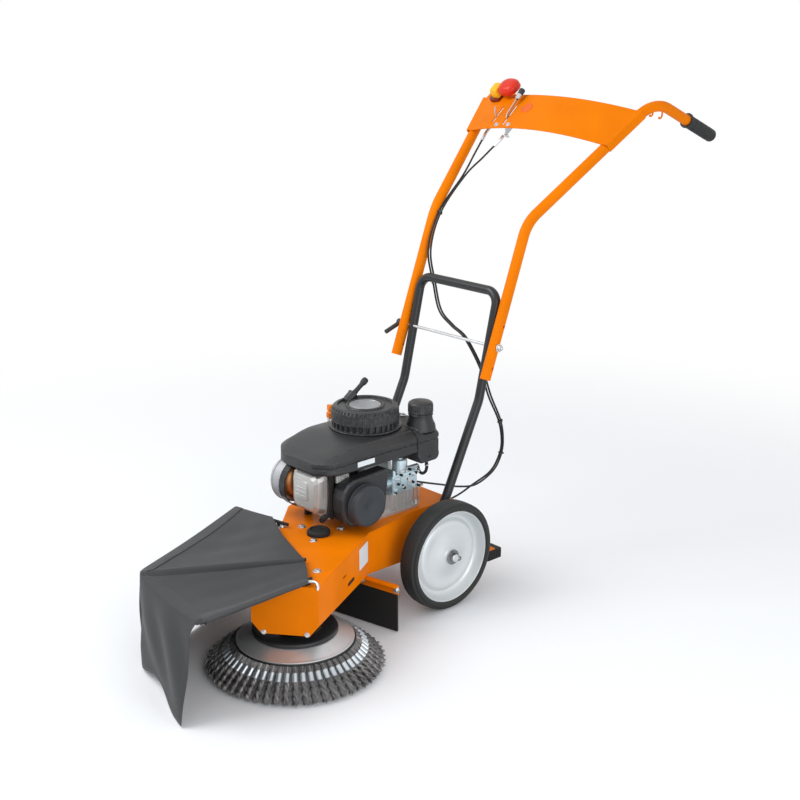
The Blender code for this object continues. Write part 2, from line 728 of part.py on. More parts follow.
def v_pulley(radius, bore, segments, frame):
    """A pressed V-belt pulley with a hub."""
    half = PULLEY_WIDTH / 2
    root = radius - 0.011
    mouth = BELT_WIDTH / 2 + 0.0022
    foot = BELT_WIDTH / 2 - 0.0010
    web = 0.0025
    hub = bore + 0.008
    profile = [(bore, -half - 0.003), (hub, -half - 0.003), (hub, -web)]
    if root - 0.006 > hub + 0.006:
        profile += [(root - 0.006, -web), (root - 0.006, -half)]
    else:
        profile += [(hub, -half)]
        profile.remove((hub, -web))
    profile += [(radius, -half), (radius, -mouth), (root, -foot)]
    profile += [(root, foot), (radius, mouth), (radius, half)]
    if root - 0.006 > hub + 0.006:
        profile += [(root - 0.006, half), (root - 0.006, web), (hub, web)]
    else:
        profile += [(hub, half)]
    profile += [(hub, half + 0.003), (bore, half + 0.003)]
    return turned([(r, BELT_LEVEL + h) for r, h in profile], segments, frame)


def idler_centre():
    """The tension pulley's place, beside the belt's far run."""
    run = (BRUSH_CENTRE - CRANK_CENTRE).normalized()
    aside = Vector((run.y, -run.x, 0))
    return CRANK_CENTRE + run * IDLER_ALONG + aside * IDLER_ASIDE


def belt_loop(offset, steps=7):
    """The belt's centre line moved outwards by an offset: three arcs joined by straight runs."""
    ride = BELT_THICK / 2 + 0.001
    wraps = [(CRANK_CENTRE, ENGINE_PULLEY_RADIUS - ride + offset, 1),
             (idler_centre(), IDLER_RADIUS + RUNNING + BELT_THICK / 2 - offset, -1),
             (BRUSH_CENTRE, BRUSH_PULLEY_RADIUS - ride + offset, 1)]
    touches = []
    for i, (a, ra, sa) in enumerate(wraps):
        b, rb, sb = wraps[(i + 1) % 3]
        span = b - a
        base = math.atan2(span.y, span.x)
        lean = math.acos((sa * ra - sb * rb) / span.length)
        normal = base - lean
        out = Vector((math.cos(normal), math.sin(normal), 0))
        touches.append((a + out * sa * ra, b + out * sb * rb))
    points = []
    for i, (centre, radius, sign) in enumerate(wraps):
        start = touches[i - 1][1] - centre
        end = touches[i][0] - centre
        a0 = math.atan2(start.y, start.x)
        a1 = math.atan2(end.y, end.x)
        sweep = (a1 - a0) % (2 * math.pi) if sign > 0 else -((a0 - a1) % (2 * math.pi))
        for k in range(steps + 1):
            angle = a0 + sweep * k / steps
            points.append(centre + radius * Vector((math.cos(angle), math.sin(angle), 0)))
    return points


def make_belt_drive():
    crank_up = along((0, 0, 1), CRANK_CENTRE)
    brush_up = along((0, 0, 1), BRUSH_CENTRE)
    place("brush_pulley", v_pulley(BRUSH_PULLEY_RADIUS, SPINDLE_RADIUS + GAP, 24, brush_up), STEEL, 0.35, 0.8,
          BRUSH_CENTRE)
    place("engine_pulley", v_pulley(ENGINE_PULLEY_RADIUS, CRANK_RADIUS + GAP, 18, crank_up), STEEL, 0.35, 0.8,
          CRANK_CENTRE)

    half = BELT_WIDTH / 2
    loops = []
    for offset, level in ((BELT_THICK / 2, -half), (BELT_THICK / 2, half), (-BELT_THICK / 2, half - 0.0015),
                          (-BELT_THICK / 2, -half + 0.0015)):
        loops.append([p + Vector((0, 0, BELT_LEVEL + level)) for p in belt_loop(offset)])
    bm = bmesh.new()
    bridge(bm, [[bm.verts.new(p) for p in loop] for loop in loops], cyclic=True)
    place("drive_belt", bm, (0.03, 0.03, 0.03), 0.8)

    centre = idler_centre()
    idler_up = along((0, 0, 1), centre)
    pulley_half = PULLEY_WIDTH / 2
    axle_bore = IDLER_PIN_RADIUS + RUNNING
    profile = [(axle_bore, -pulley_half), (IDLER_RADIUS + 0.004, -pulley_half),
               (IDLER_RADIUS + 0.004, -pulley_half + 0.0018), (IDLER_RADIUS, -pulley_half + 0.0025),
               (IDLER_RADIUS, pulley_half - 0.0025), (IDLER_RADIUS + 0.004, pulley_half - 0.0018),
               (IDLER_RADIUS + 0.004, pulley_half), (axle_bore, pulley_half)]
    profile = [(r, BELT_LEVEL + h) for r, h in profile]
    place("tension_pulley", turned(profile, 20, idler_up), BLACK, 0.5, 0, centre)

    pivot = Vector((*IDLER_PIVOT, 0))
    arm_top = BELT_LEVEL + pulley_half + GAP + IDLER_ARM_THICK
    arm_low = arm_top - IDLER_ARM_THICK
    reach = centre - pivot
    heading = math.atan2(reach.y, reach.x)
    outline = []
    for middle, start in ((pivot, heading + math.pi / 2), (centre, heading - math.pi / 2)):
        for k in range(6):
            angle = start + math.pi * k / 5
            outline.append((middle + IDLER_ARM_WIDTH / 2 * Vector((math.cos(angle), math.sin(angle), 0))).xy)
    arm = place("tension_arm", prism(outline, arm_low, arm_top), STEEL, 0.4, 0.8, pivot)
    stub = disc(IDLER_PIN_RADIUS, BELT_LEVEL - pulley_half - 0.002, arm_top - 0.001, 14, idler_up)
    fuse(arm, stub)
    cut(arm, disc(IDLER_PIN_RADIUS + RUNNING, arm_low - 0.01, arm_top + 0.01, 14, along((0, 0, 1), pivot)))


def make_flap():
    """The rubber stone flap before the left wheel and the angle strip that clamps it under the deck."""
    run = Vector((math.cos(FLAP_ANGLE), math.sin(FLAP_ANGLE), 0))
    outer = Vector((FLAP_OUTER_X, FLAP_OUTER_Y, 0))
    length = (FLAP_OUTER_X - FLAP_INNER_X) / math.cos(FLAP_ANGLE)
    frame = Matrix((run, Vector((-run.y, run.x, 0)), Vector((0, 0, 1)))).transposed().to_4x4()
    frame.translation = outer - run * length
    corner = 0.012
    outline = [(0.0, FLAP_LOW + corner), (corner, FLAP_LOW), (length, FLAP_LOW), (length, FLAP_TOP),
               (0.0, FLAP_TOP)]
    upright = frame @ Matrix.Rotation(math.pi / 2, 4, "X")
    place("stone_flap", prism(outline, -FLAP_THICK, 0, upright), (0.02, 0.02, 0.02), 0.85)

    strip_top = (REAR_WALL_LOW + ARM_WALL_LOW) / 2 - GAP
    low = FLAP_TOP - 0.012
    profile = [(-GAP, low), (-GAP, strip_top), (-0.018, strip_top), (-0.018, strip_top - SHEET),
               (-GAP - SHEET, strip_top - SHEET), (-GAP - SHEET, low)]
    bm = bmesh.new()
    ends = []
    for x in (0.0, length + 0.006):
        ends.append([bm.verts.new(frame @ Vector((x, y, z))) for y, z in profile])
    bridge(bm, ends)
    place("flap_strip", bm, ORANGE, 0.35)


def make_step():
    """The operator's foot step behind the left wheel: a bent flat bar with a ribbed rubber tread."""
    wall = DECK_REAR + GAP
    level = STEP_PAD_TOP - 0.014
    bottom = level - 0.004
    upright, flat = Vector((0, 0.004, 0)), Vector((0, 0, 0.004))
    stations = (((0.088, wall, 0.180), (0.014, 0.0, 0), upright),
                ((0.088, wall, 0.130), (0.014, 0.0, 0), upright),
                ((0.100, wall + 0.030, bottom), (0.014, -0.007, 0), flat),
                ((STEP_PAD_X - 0.020, STEP_PAD_Y - 0.012, bottom), (0.006, -0.015, 0), flat),
                ((STEP_PAD_X + 0.020, STEP_PAD_Y, bottom), (0.006, -0.015, 0), flat))
    sections = []
    for at, half, thick in stations:
        here, side = Vector(at), Vector(half)
        sections.append([here - side, here + side, here + side + thick, here - side + thick])
    place("foot_step", loft(sections), ORANGE, 0.35)

    outline = rounded_outline(STEP_PAD_X - 0.024, STEP_PAD_X + 0.026, STEP_PAD_Y - 0.021, STEP_PAD_Y + 0.021,
                              0.006, 2)
    bm = prism(outline, level + GAP, STEP_PAD_TOP - 0.003)
    pad = place("foot_step_pad", bm, BLACK, 0.85)
    ribs = bmesh.new()
    for i in range(4):
        x = STEP_PAD_X - 0.018 + i * 0.0125
        block((x, STEP_PAD_Y - 0.018, STEP_PAD_TOP - 0.005),
              (x + 0.006, STEP_PAD_Y + 0.018, STEP_PAD_TOP), ribs)
    fuse(pad, ribs)


def crank_offset(x, y, z):
    return Vector((CRANK_X + x, CRANK_Y + y, z))


def make_engine_block():
    seat = DECK_TOP + GAP
    top = COWL_LOW - GAP
    rows = []
    for z, outer, narrow in ((seat, 0.0, 0.0), (seat + 0.009, 0.0, 0.0), (seat + 0.009, -0.010, 0.0),
                             (CRANKCASE_TOP - 0.008, -0.010, 0.0), (CRANKCASE_TOP, -0.016, 0.004),
                             (CRANKCASE_TOP, -0.0165, 0.030), (top, -0.022, 0.030)):
        outline = rounded_outline(CRANK_X - 0.092 - outer, CRANK_X + 0.096 + outer - narrow,
                                  CRANK_Y - 0.084 - outer, CRANK_Y + 0.108 + outer - narrow, 0.024, 2)
        rows.append([(x, y, z) for x, y in outline])
    case = place("crankcase", loft(rows), (0.55, 0.54, 0.52), 0.4, 0.6)
    tube_x = COWL_FAR - 0.018
    filler = [Vector((CRANK_X - 0.060, CRANK_Y, 0.270)), Vector((tube_x, CRANK_Y, 0.296)),
              Vector((tube_x, CRANK_Y, DIPSTICK_SEAT))]
    fuse(case, tube_along(bent_path(filler, [0.02], 3), 0.010, 12))
    cut(case, disc(CRANK_RADIUS + RUNNING, seat - 0.01, 0.305, 20, along((0, 0, 1), CRANK_CENTRE)))

    seat = Vector((tube_x, CRANK_Y, DIPSTICK_SEAT + RUNNING))
    profile = [(0, 0), (0.0125, 0), (0.0125, 0.012), (0.009, 0.015), (0.009, 0.024), (0.006, 0.032),
               (0, 0.032)]
    stick = place("oil_dipstick", turned(profile, 16, along((0, 0, 1), seat)), ORANGE, 0.4, 0, seat)
    grip = block(seat + Vector((-0.013, -0.003, 0.016)), seat + Vector((0.013, 0.003, 0.030)))
    fuse(stick, grip)

    low = BELT_LEVEL - PULLEY_WIDTH / 2 - 0.008
    shaft = [(0, low), (0.010, low), (CRANK_RADIUS, low + 0.0025), (CRANK_RADIUS, 0.300), (0, 0.300)]
    place("crankshaft", turned(shaft, 20, along((0, 0, 1), CRANK_CENTRE)), STEEL, 0.3, 0.9, CRANK_CENTRE)


def make_cylinder():
    """The air-cooled cylinder: a comb outline, extruded upwards, gives the fins on both sides."""
    x0, x1 = CRANK_X - 0.040, CRANK_X + 0.086
    depth = 0.013
    pitch = (CYLINDER_REAR - CYLINDER_FRONT) / FINS
    outline = []
    for i in range(FINS):
        y = CYLINDER_FRONT + i * pitch
        outline += [(x1, y), (x1, y + pitch * 0.42)]
        if i < FINS - 1:
            outline += [(x1 - depth, y + pitch * 0.42), (x1 - depth, y + pitch)]
    far_side = [(x0 + (x1 - x), y) for x, y in reversed(outline)]
    comb = prism(outline + far_side, CYLINDER_LOW, CYLINDER_TOP)
    cylinder = place("cylinder", comb, (0.05, 0.05, 0.05), 0.6, 0.3)
    plug = along((0.15, -1, 0), (x1 - 0.0070, CYLINDER_FRONT + 0.004, CYLINDER_LOW + 0.012))
    fuse(cylinder, disc(0.0065, -0.006, 0.036, 12, plug, chamfer=0.002))

    front = CYLINDER_FRONT - GAP
    sections = []
    for depth_share, inset in ((0.0, -0.004), (0.16, -0.004), (0.16, 0.002), (0.75, 0.006), (1.0, 0.014)):
        y = front - VALVE_COVER_DEPTH * depth_share
        outline = rounded_outline(CRANK_X - 0.040 + inset, CRANK_X + 0.068 - inset,
                                  CYLINDER_LOW + 0.006 + inset, CYLINDER_TOP - 0.004 - inset, 0.014, 2)
        sections.append([(x, y, z) for x, z in outline])
    cover = place("valve_cover", loft(sections), (0.66, 0.66, 0.65), 0.35, 0.6)
    face = front - VALVE_COVER_DEPTH
    panel = rounded_outline(CRANK_X - 0.020, CRANK_X + 0.030, CYLINDER_LOW + 0.040, CYLINDER_TOP - 0.030,
                            0.006, 2)
    raised = bmesh.new()
    bridge(raised, [[raised.verts.new((x, y, z)) for x, z in panel] for y in (face + 0.004, face - 0.003)])
    fuse(cover, raised)


def make_muffler():
    centre = Vector((MUFFLER_X, MUFFLER_Y, MUFFLER_Z))
    frame = along((1, 0, 0), centre)
    half = MUFFLER_LENGTH / 2
    r = MUFFLER_RADIUS
    profile = [(0, -half), (r * 0.60, -half), (r * 0.90, -half + 0.006), (r, -half + 0.018),
               (r, half - 0.006), (r * 0.94, half), (0, half)]
    muffler = place("muffler", turned(profile, 28, frame), (0.45, 0.46, 0.47), 0.55, 0.4)
    port = along((1, 0, 0), centre + Vector((0, 0.020, 0.004)))
    reach = CRANK_X - 0.040 - GAP - centre.x
    fuse(muffler, disc(0.013, half - 0.004, reach, 14, port))

    inner = MUFFLER_RADIUS + 0.0015
    back, front = half + 2 * GAP, half + 0.022
    band = [(inner, back), (inner + 0.0025, back), (inner + 0.0025, front), (inner, front)]
    guard = place("muffler_guard", turned(band, 28, frame), (0.03, 0.03, 0.03), 0.5, 0.3)
    foot = block((centre.x + back + 0.006, centre.y + 0.012, DECK_TOP + GAP),
                 (centre.x + front - 0.006, centre.y + 0.030, centre.z - inner + 0.002))
    fuse(guard, foot)


def cowl_section(y, near, far, top, low, crease):
    """One cross-section of the blower housing: rolled lower edge, crease, shoulder and flat top."""
    soft = (top - crease) * 0.45
    return [
        (far + 0.006, y, low), (near - 0.006, y, low), (near - 0.001, y, low + 0.004),
        (near, y, crease - 0.004), (near - 0.003, y, crease), (near - 0.012, y, crease + soft),
        (near - 0.034, y, top - 0.001), (near - 0.062, y, top), (far + 0.062, y, top),
        (far + 0.034, y, top - 0.001), (far + 0.012, y, crease + soft), (far + 0.003, y, crease),
        (far, y, crease - 0.004), (far + 0.001, y, low + 0.004),
    ]


def make_cowl():
    """The moulded blower housing, falling and narrowing towards its rounded front."""
    length = COWL_REAR - COWL_FRONT
    rows = ((0.0, 0.050, 0.069, 0.030), (0.018, 0.032, 0.055, 0.024), (0.055, 0.016, 0.040, 0.018),
            (0.12, 0.006, 0.018, 0.011), (0.25, 0.001, 0.004, 0.004), (0.42, 0.0, 0.0, 0.0),
            (1.0, 0.0, 0.0, 0.0))
    sections = []
    for share, near_in, far_in, drop in rows:
        y = COWL_FRONT + length * share
        crease = COWL_CREASE - drop * 0.25
        sections.append(cowl_section(y, COWL_NEAR - near_in, COWL_FAR + far_in, COWL_TOP - drop,
                                     COWL_LOW, crease))
    place("engine_cowl", loft(sections), BLACK, 0.45)


def make_tank():
    """The fuel tank behind the cowl, with its neck up to the filler cap."""
    front = COWL_REAR + GAP
    length = TANK_REAR - front
    sections = []
    rows = ((0.0, 0.0, 0.0, COWL_LOW - 0.012), (0.12, 0.0, 0.0, TANK_LOW), (0.72, 0.001, 0.001, TANK_LOW),
            (0.90, 0.006, 0.005, TANK_LOW + 0.005), (1.0, 0.018, 0.016, TANK_LOW + 0.018))
    for share, narrow, drop, low in rows:
        y = front + length * share
        sections.append(cowl_section(y, COWL_NEAR + 0.002 - narrow, COWL_FAR + 0.030 + narrow,
                                     COWL_TOP - drop, low, COWL_CREASE - drop * 0.4))
    tank = place("fuel_tank", loft(sections), BLACK, 0.45)
    up = along((0, 0, 1), (FILLER_X, FILLER_Y, 0))
    neck = [(0, COWL_TOP - 0.020), (FILLER_RADIUS + 0.010, COWL_TOP - 0.020),
            (FILLER_RADIUS + 0.006, COWL_TOP + 0.002), (FILLER_RADIUS, COWL_TOP + 0.012),
            (FILLER_RADIUS, CAP_LOW - GAP), (0, CAP_LOW - GAP)]
    fuse(tank, turned(neck, 24, up))
    spout = along((0, 0, -1), (COWL_NEAR - 0.022, TANK_REAR - 0.034, TANK_LOW + 0.006))
    fuse(tank, disc(0.0045, 0.0, 0.016, 10, spout))

    r = CAP_RADIUS
    cap = [(0, CAP_LOW), (r - 0.002, CAP_LOW), (r, CAP_LOW + 0.002), (r, CAP_TOP - 0.008),
           (r - 0.0015, CAP_TOP - 0.003), (r - 0.006, CAP_TOP), (0, CAP_TOP)]
    place("fuel_cap", turned(cap, 40, up, slot_rows=(2, 3), slot_depth=0.0012), BLACK, 0.5, 0,
          (FILLER_X, FILLER_Y, CAP_LOW))


def make_recoil():
    """The starter housing: a ring of air slots below a plain band, with a recessed round face."""
    r = RECOIL_RADIUS
    low = COWL_TOP + GAP
    slot_low, slot_high = low + 0.004, low + 0.034
    profile = [(0, low), (r, low), (r, slot_low), (r, slot_low + 0.0006), (r, slot_high),
               (r, slot_high + 0.0006), (r, RECOIL_TOP - 0.008), (r - 0.008, RECOIL_TOP), (0.042, RECOIL_TOP),
               (0.038, RECOIL_TOP - 0.003), (0.0, RECOIL_TOP - 0.003)]
    bm = turned(profile, 2 * RECOIL_SLOTS, along((0, 0, 1), CRANK_CENTRE), slot_rows=(3, 4), slot_depth=0.005)
    housing = place("recoil_housing", bm, BLACK, 0.5)
    exit_at = starter_exit()
    pull = along((0, math.cos(STARTER_SLOPE), math.sin(STARTER_SLOPE)), exit_at)
    fuse(housing, disc(0.0125, -0.026, 0.0, 16, pull))
    grip = [(0, GAP), (0.0075, GAP), (0.0062, 0.010), (0.0060, 0.032), (0.0085, 0.040), (0.0085, 0.050),
            (0.006, 0.054), (0, 0.054)]
    place("starter_handle", turned(grip, 14, pull), BLACK, 0.6, 0, exit_at)


def starter_exit():
    """Where the starter rope leaves the housing's far rim."""
    return crank_offset(-0.066, 0.018, RECOIL_TOP + 0.007)


def make_intake():
    """Air filter, carburettor and fuel hose on the engine's left side."""
    face = CRANK_X + 0.0865
    back = FILTER_FACE - 0.026
    shell = [(FILTER_Y - 0.066, FILTER_Z - 0.054), (FILTER_Y + 0.070, FILTER_Z - 0.054),
             (FILTER_Y + 0.084, FILTER_Z + 0.072), (FILTER_Y - 0.066, FILTER_Z + 0.064)]
    sections = []
    for x, inset in ((face, 0.008), (face + 0.006, 0.0), (back - 0.004, 0.0), (back, 0.004)):
        outline = corner_outline(inset_outline(shell, inset), (0.045, 0.030, 0.008, 0.040))
        sections.append([(x, y, z) for y, z in outline])
    place("air_filter_box", loft(sections), BLACK, 0.5)

    r = FILTER_RADIUS
    cover = [(0, back + GAP), (r, back + GAP), (r + 0.001, back + 0.004), (r, FILTER_FACE - 0.006),
             (r - 0.007, FILTER_FACE), (0, FILTER_FACE)]
    facing = along((1, 0, 0), (0, FILTER_Y, FILTER_Z))
    place("air_filter_cover", turned(cover, 36, facing), (0.07, 0.075, 0.08), 0.5)

    low = CRANKCASE_TOP + GAP
    casting = block((CARB_INNER_X, CARB_FRONT_Y, low), (CARB_OUTER_X, CARB_REAR_Y, CARB_TOP))
    body = place("carburettor", casting, (0.45, 0.52, 0.55), 0.4, 0.6)
    middle_x = (CARB_INNER_X + CARB_OUTER_X) / 2
    bowl = along((0, 0, 1), (middle_x - 0.001, CARB_FRONT_Y + 0.042, 0))
    fuse(body, disc(0.019, CARB_TOP - 0.006, CARB_BOWL_TOP, 18, bowl, chamfer=0.003))
    throat = along((0, 1, 0), (middle_x - 0.001, 0, CARB_TOP - 0.022))
    fuse(body, disc(0.014, FILTER_Y + 0.0820, CARB_FRONT_Y + 0.014, 14, throat))
    hose_end = Vector((CARB_OUTER_X - 0.014, CARB_REAR_Y + 0.008, CARB_TOP + 0.0035))
    fuse(body, disc(0.0060, -0.042, 0.0, 12, along((0, 1, 0), hose_end)))
    fuse(body, block((CARB_OUTER_X - 0.002, CARB_FRONT_Y + 0.024, CARB_TOP - 0.034),
                     (CARB_OUTER_X + 0.0045, CARB_FRONT_Y + 0.054, CARB_TOP - 0.008)))

    spout = Vector((COWL_NEAR - 0.022, TANK_REAR - 0.034, TANK_LOW - 0.010 - 3 * GAP))
    end = hose_end + Vector((0, 4 * GAP, 0))
    route = [spout, spout + Vector((0, 0.0015, -0.012)), spout + Vector((0, -0.003, -0.023)),
             spout + Vector((-0.001, -0.013, -0.026)), spout + Vector((-0.003, -0.022, -0.018)),
             end + Vector((0, 0.006, -0.0006)), end]
    path = smooth_path(route, 3)
    place("fuel_hose", tube_along(path, 0.004, 8), (0.02, 0.02, 0.02), 0.6)


def leg_path():
    """Centre line of the lower handle, from foot to foot over its top bar."""
    near = [LEG_FOOT, LEG_KNEE, LEG_TOP]
    far = [mirrored(p, -1) for p in reversed(near)]
    return bent_path(near + far, [0.10, 0.035, 0.035, 0.10], 4)


def make_lower_handle():
    bm = tube_along(leg_path(), LEG_RADIUS, 10)
    handle = place("lower_handle", bm, BLACK, 0.4, 0.2)
    hole = disc(ROD_RADIUS + GAP, -LEG_X - 0.03, LEG_X + 0.03, 10, along((1, 0, 0), HANDLE_PIVOT))
    cut(handle, hole)


def mirrored(point, side):
    return Vector((side * point.x, point.y, point.z))


def make_tube(name, side):
    """One handlebar tube: straight along the leg, bent back and outwards, then over into the grip."""
    corners = [mirrored(p, side) for p in (TUBE_FOOT, TUBE_BEND, TUBE_CREST, TUBE_END)]
    path = bent_path(corners, [0.12, 0.095], 5)
    tube = place(name, tube_along(path, TUBE_RADIUS, 12), ORANGE, 0.35, 0, HANDLE_PIVOT)
    lean = (TUBE_BEND - TUBE_FOOT).normalized()
    holes = bmesh.new()
    for step in (-1, 0, 1):
        at = HANDLE_PIVOT + lean * HOLE_PITCH * step
        through = along((1, 0, 0), at)
        disc(ROD_RADIUS + GAP, side * TUBE_X - 0.02, side * TUBE_X + 0.02, 10, through, into=holes)
    cut(tube, holes)
    return tube


def make_grip(name, side):
    """The ribbed rubber grip over the tube's end, closed at its rear."""
    frame = along(mirrored(TUBE_END - TUBE_CREST, side), mirrored(TUBE_END, side))
    start = 0.010 - GRIP_LENGTH
    sides = 12
    bore = (TUBE_RADIUS + GAP) / math.cos(math.pi / sides)
    profile = [(bore, start), (GRIP_RADIUS + 0.003, start), (GRIP_RADIUS + 0.003, start + 0.004)]
    ribs = 5
    span = (GRIP_LENGTH - 0.020) / ribs
    for i in range(ribs):
        low = start + 0.005 + i * span
        profile += [(GRIP_RADIUS - 0.0012, low), (GRIP_RADIUS, low + 0.004),
                    (GRIP_RADIUS, low + span - 0.003)]
    profile += [(GRIP_RADIUS, 0.003), (GRIP_RADIUS - 0.006, 0.010), (0, 0.010), (0, GAP), (bore, GAP)]
    return place(name, turned(profile, sides, frame), BLACK, 0.8, 0, HANDLE_PIVOT)


def panel_frame():
    """Panel coordinates: X across, Y up along the tubes, Z out of the tubes' plane, forwards and up."""
    rise = Vector((0, TUBE_CREST.y - TUBE_BEND.y, TUBE_CREST.z - TUBE_BEND.z)).normalized()
    out = Vector((1, 0, 0)).cross(rise)
    frame = Matrix((Vector((1, 0, 0)), rise, out)).transposed().to_4x4()
    frame.translation = TUBE_BEND.lerp(TUBE_CREST, PANEL_PLACE)
    frame.translation.x = 0
    return frame


def tube_reach(v):
    """Half-distance between the tubes at a height on the panel."""
    at = panel_frame() @ Vector((0, v, 0))
    share = (at.y - TUBE_BEND.y) / (TUBE_CREST.y - TUBE_BEND.y)
    return TUBE_BEND.x + (TUBE_CREST.x - TUBE_BEND.x) * share


def panel_height(u):
    """How far the arched panel stands out of the tubes' plane, u from -1 to 1 across it."""
    return TUBE_RADIUS + GAP + PANEL_RISE * (1 - u * u)


def make_panel():
    """The arched console panel: one sheet over both tubes, folded down along its outer edges."""
    frame = panel_frame()
    across = 10
    loops = []
    for v in (-PANEL_HALF_LENGTH, PANEL_HALF_LENGTH):
        half = tube_reach(v) + TUBE_RADIUS + GAP
        upper = [(half + PANEL_SHEET, -0.008), (half + PANEL_SHEET, TUBE_RADIUS + GAP + PANEL_SHEET * 0.6),
                 (half + PANEL_SHEET * 0.6, TUBE_RADIUS + GAP + PANEL_SHEET)]
        lower = [(half, -0.008), (half, TUBE_RADIUS + GAP)]
        inner_half = tube_reach(v) - 0.004
        for i in range(across + 1):
            u = 1 - 2 * i / across
            upper.append((inner_half * u, panel_height(u) + PANEL_SHEET))
            lower.append((inner_half * u, panel_height(u)))
        upper += [(-x, z) for x, z in (upper[2], upper[1], upper[0])]
        lower += [(-x, z) for x, z in (lower[1], lower[0])]
        loops.append([frame @ Vector((x, v, z)) for x, z in upper + list(reversed(lower))])
    panel = place("console_panel", loft(loops), ORANGE, 0.35, 0, HANDLE_PIVOT)
    slots = bmesh.new()
    for x, low, high in ((THROTTLE_X, -0.054, 0.034), (SECOND_SLOT_X, -0.042, 0.018)):
        slot = frame @ Matrix.Translation((x, (low + high) / 2, 0.03))
        half = (high - low) / 2
        prism(rounded_outline(-0.0035, 0.0035, -half, half, 0.003, 2), -0.03, 0.03, slot, slots)
    cut(panel, slots)


def panel_side(x, v=0.0, w=0.0):
    """A plate's frame on the panel: local X up along the tubes, Y out of the panel, Z across to the right."""
    turn = Matrix(((0, 0, -1), (1, 0, 0), (0, 1, 0))).to_4x4()
    return panel_frame() @ Matrix.Translation((x, v, w)) @ turn.inverted().transposed()


def make_controls():
    """Throttle lever, stop switch and the bracket under the console's right-hand end."""
    frame = panel_frame()
    lever_thick = 0.0024
    hinge_v, hinge_w = -0.026, 0.012
    blade = panel_side(THROTTLE_X + lever_thick / 2, hinge_v, hinge_w)
    outline = [(-0.006, -0.005), (0.006, -0.005), (0.0055, 0.024), (0.012, 0.030), (0.064, 0.038),
               (0.064, 0.045), (0.004, 0.038), (-0.004, 0.031)]
    pivot = frame @ Vector((THROTTLE_X, hinge_v, hinge_w))
    lever = place("throttle_lever", prism(outline, 0.0, lever_thick, blade), STEEL, 0.3, 0.9, pivot)
    knob_seat = blade @ Vector((0.058, 0.0407, lever_thick / 2))
    knob_frame = along(blade.to_3x3() @ Vector((1, 0.14, 0)), knob_seat)
    fuse(lever, disc(0.0075, 0.0, 0.026, 14, knob_frame, chamfer=0.0025))
    axis = along((1, 0, 0), pivot)
    cut(lever, disc(0.0028, -0.01, 0.01, 10, axis))

    plate_x = THROTTLE_X + lever_thick / 2 + GAP
    thick = 0.0025
    under = panel_height(plate_x / (tube_reach(-0.040) - 0.004)) - 2 * GAP - hinge_w
    outline = [(-0.046, -0.010), (0.016, -0.010), (0.020, 0.0), (0.020, under), (-0.014, under),
               (-0.046, 0.004)]
    plate = panel_side(plate_x + thick, hinge_v, hinge_w)
    carrier = place("lever_bracket", prism(outline, 0.0, thick, plate), STEEL, 0.35, 0.8, HANDLE_PIVOT)
    pin = along((1, 0, 0), frame @ Vector((plate_x, hinge_v, hinge_w)))
    fuse(carrier, disc(0.0025, -lever_thick - 2 * GAP, 0.001, 10, pin))
    ear = panel_side(plate_x + 0.028, hinge_v, hinge_w)
    outline = [(-0.0455, -0.0095), (-0.0425, -0.0095), (-0.0425, 0.003), (-0.0455, 0.003)]
    fuse(carrier, prism(outline, 0.0, 0.027, ear))

    box = frame @ Matrix.Translation((STOP_BOX_X, STOP_BOX_V, 0))
    outline = rounded_outline(-0.019, 0.019, -0.018, 0.018, 0.005, 2)
    foot = panel_height((STOP_BOX_X + 0.019) / tube_reach(STOP_BOX_V)) + PANEL_SHEET + 2 * GAP
    place("stop_switch_box", prism(outline, foot, 0.057, box), (0.90, 0.50, 0.01), 0.4, 0, HANDLE_PIVOT)

    hinge = Vector((STOP_BOX_X + 0.0198, STOP_BOX_V + 0.007, 0.051))
    paddle = frame @ Matrix.Translation(hinge)
    corners = [(0.0, -0.026), (0.060, -0.026), (0.060, 0.024), (0.0, 0.024)]
    radii = (0.004, 0.020, 0.022, 0.010)
    sections = []
    for w, inset in ((-0.0045, 0.001), (-0.0035, 0.0), (0.005, 0.0), (0.010, 0.003), (0.012, 0.009)):
        shrunk = [max(radius - inset, 0.001) for radius in radii]
        outline = corner_outline(inset_outline(corners, inset) if inset else corners, shrunk, 4)
        sections.append([paddle @ Vector((x, v, w)) for x, v in outline])
    place("stop_lever", loft(sections), (0.78, 0.045, 0.012), 0.35, 0, paddle.translation)


def make_clamp():
    reach = TUBE_X + TUBE_RADIUS + 0.009
    frame = along((1, 0, 0), HANDLE_PIVOT)
    rod = [(0, -reach - 0.004), (ROD_RADIUS, -reach - 0.004), (ROD_RADIUS, reach - 0.0085),
           (0.008, reach - 0.0085), (0.008, reach - 0.002), (0.006, reach), (0, reach)]
    place("clamp_rod", turned(rod, 14, frame), STEEL, 0.3, 0.9)

    outer = -TUBE_X - TUBE_RADIUS - GAP
    hub = disc(0.010, outer - 0.015, outer, 14, frame, bore=ROD_RADIUS + GAP, chamfer=0.002)
    lever = place("clamp_lever", hub, BLACK, 0.5, 0, HANDLE_PIVOT)
    start = Vector((outer - 0.0075, ROD_Y, ROD_Z))
    aim = Vector((-0.04, -0.90, -0.34)).normalized()
    path = [start + aim * d for d in (0.007, 0.022, 0.040, 0.054)]
    fuse(lever, tube_along(path, 0.0060, 10))


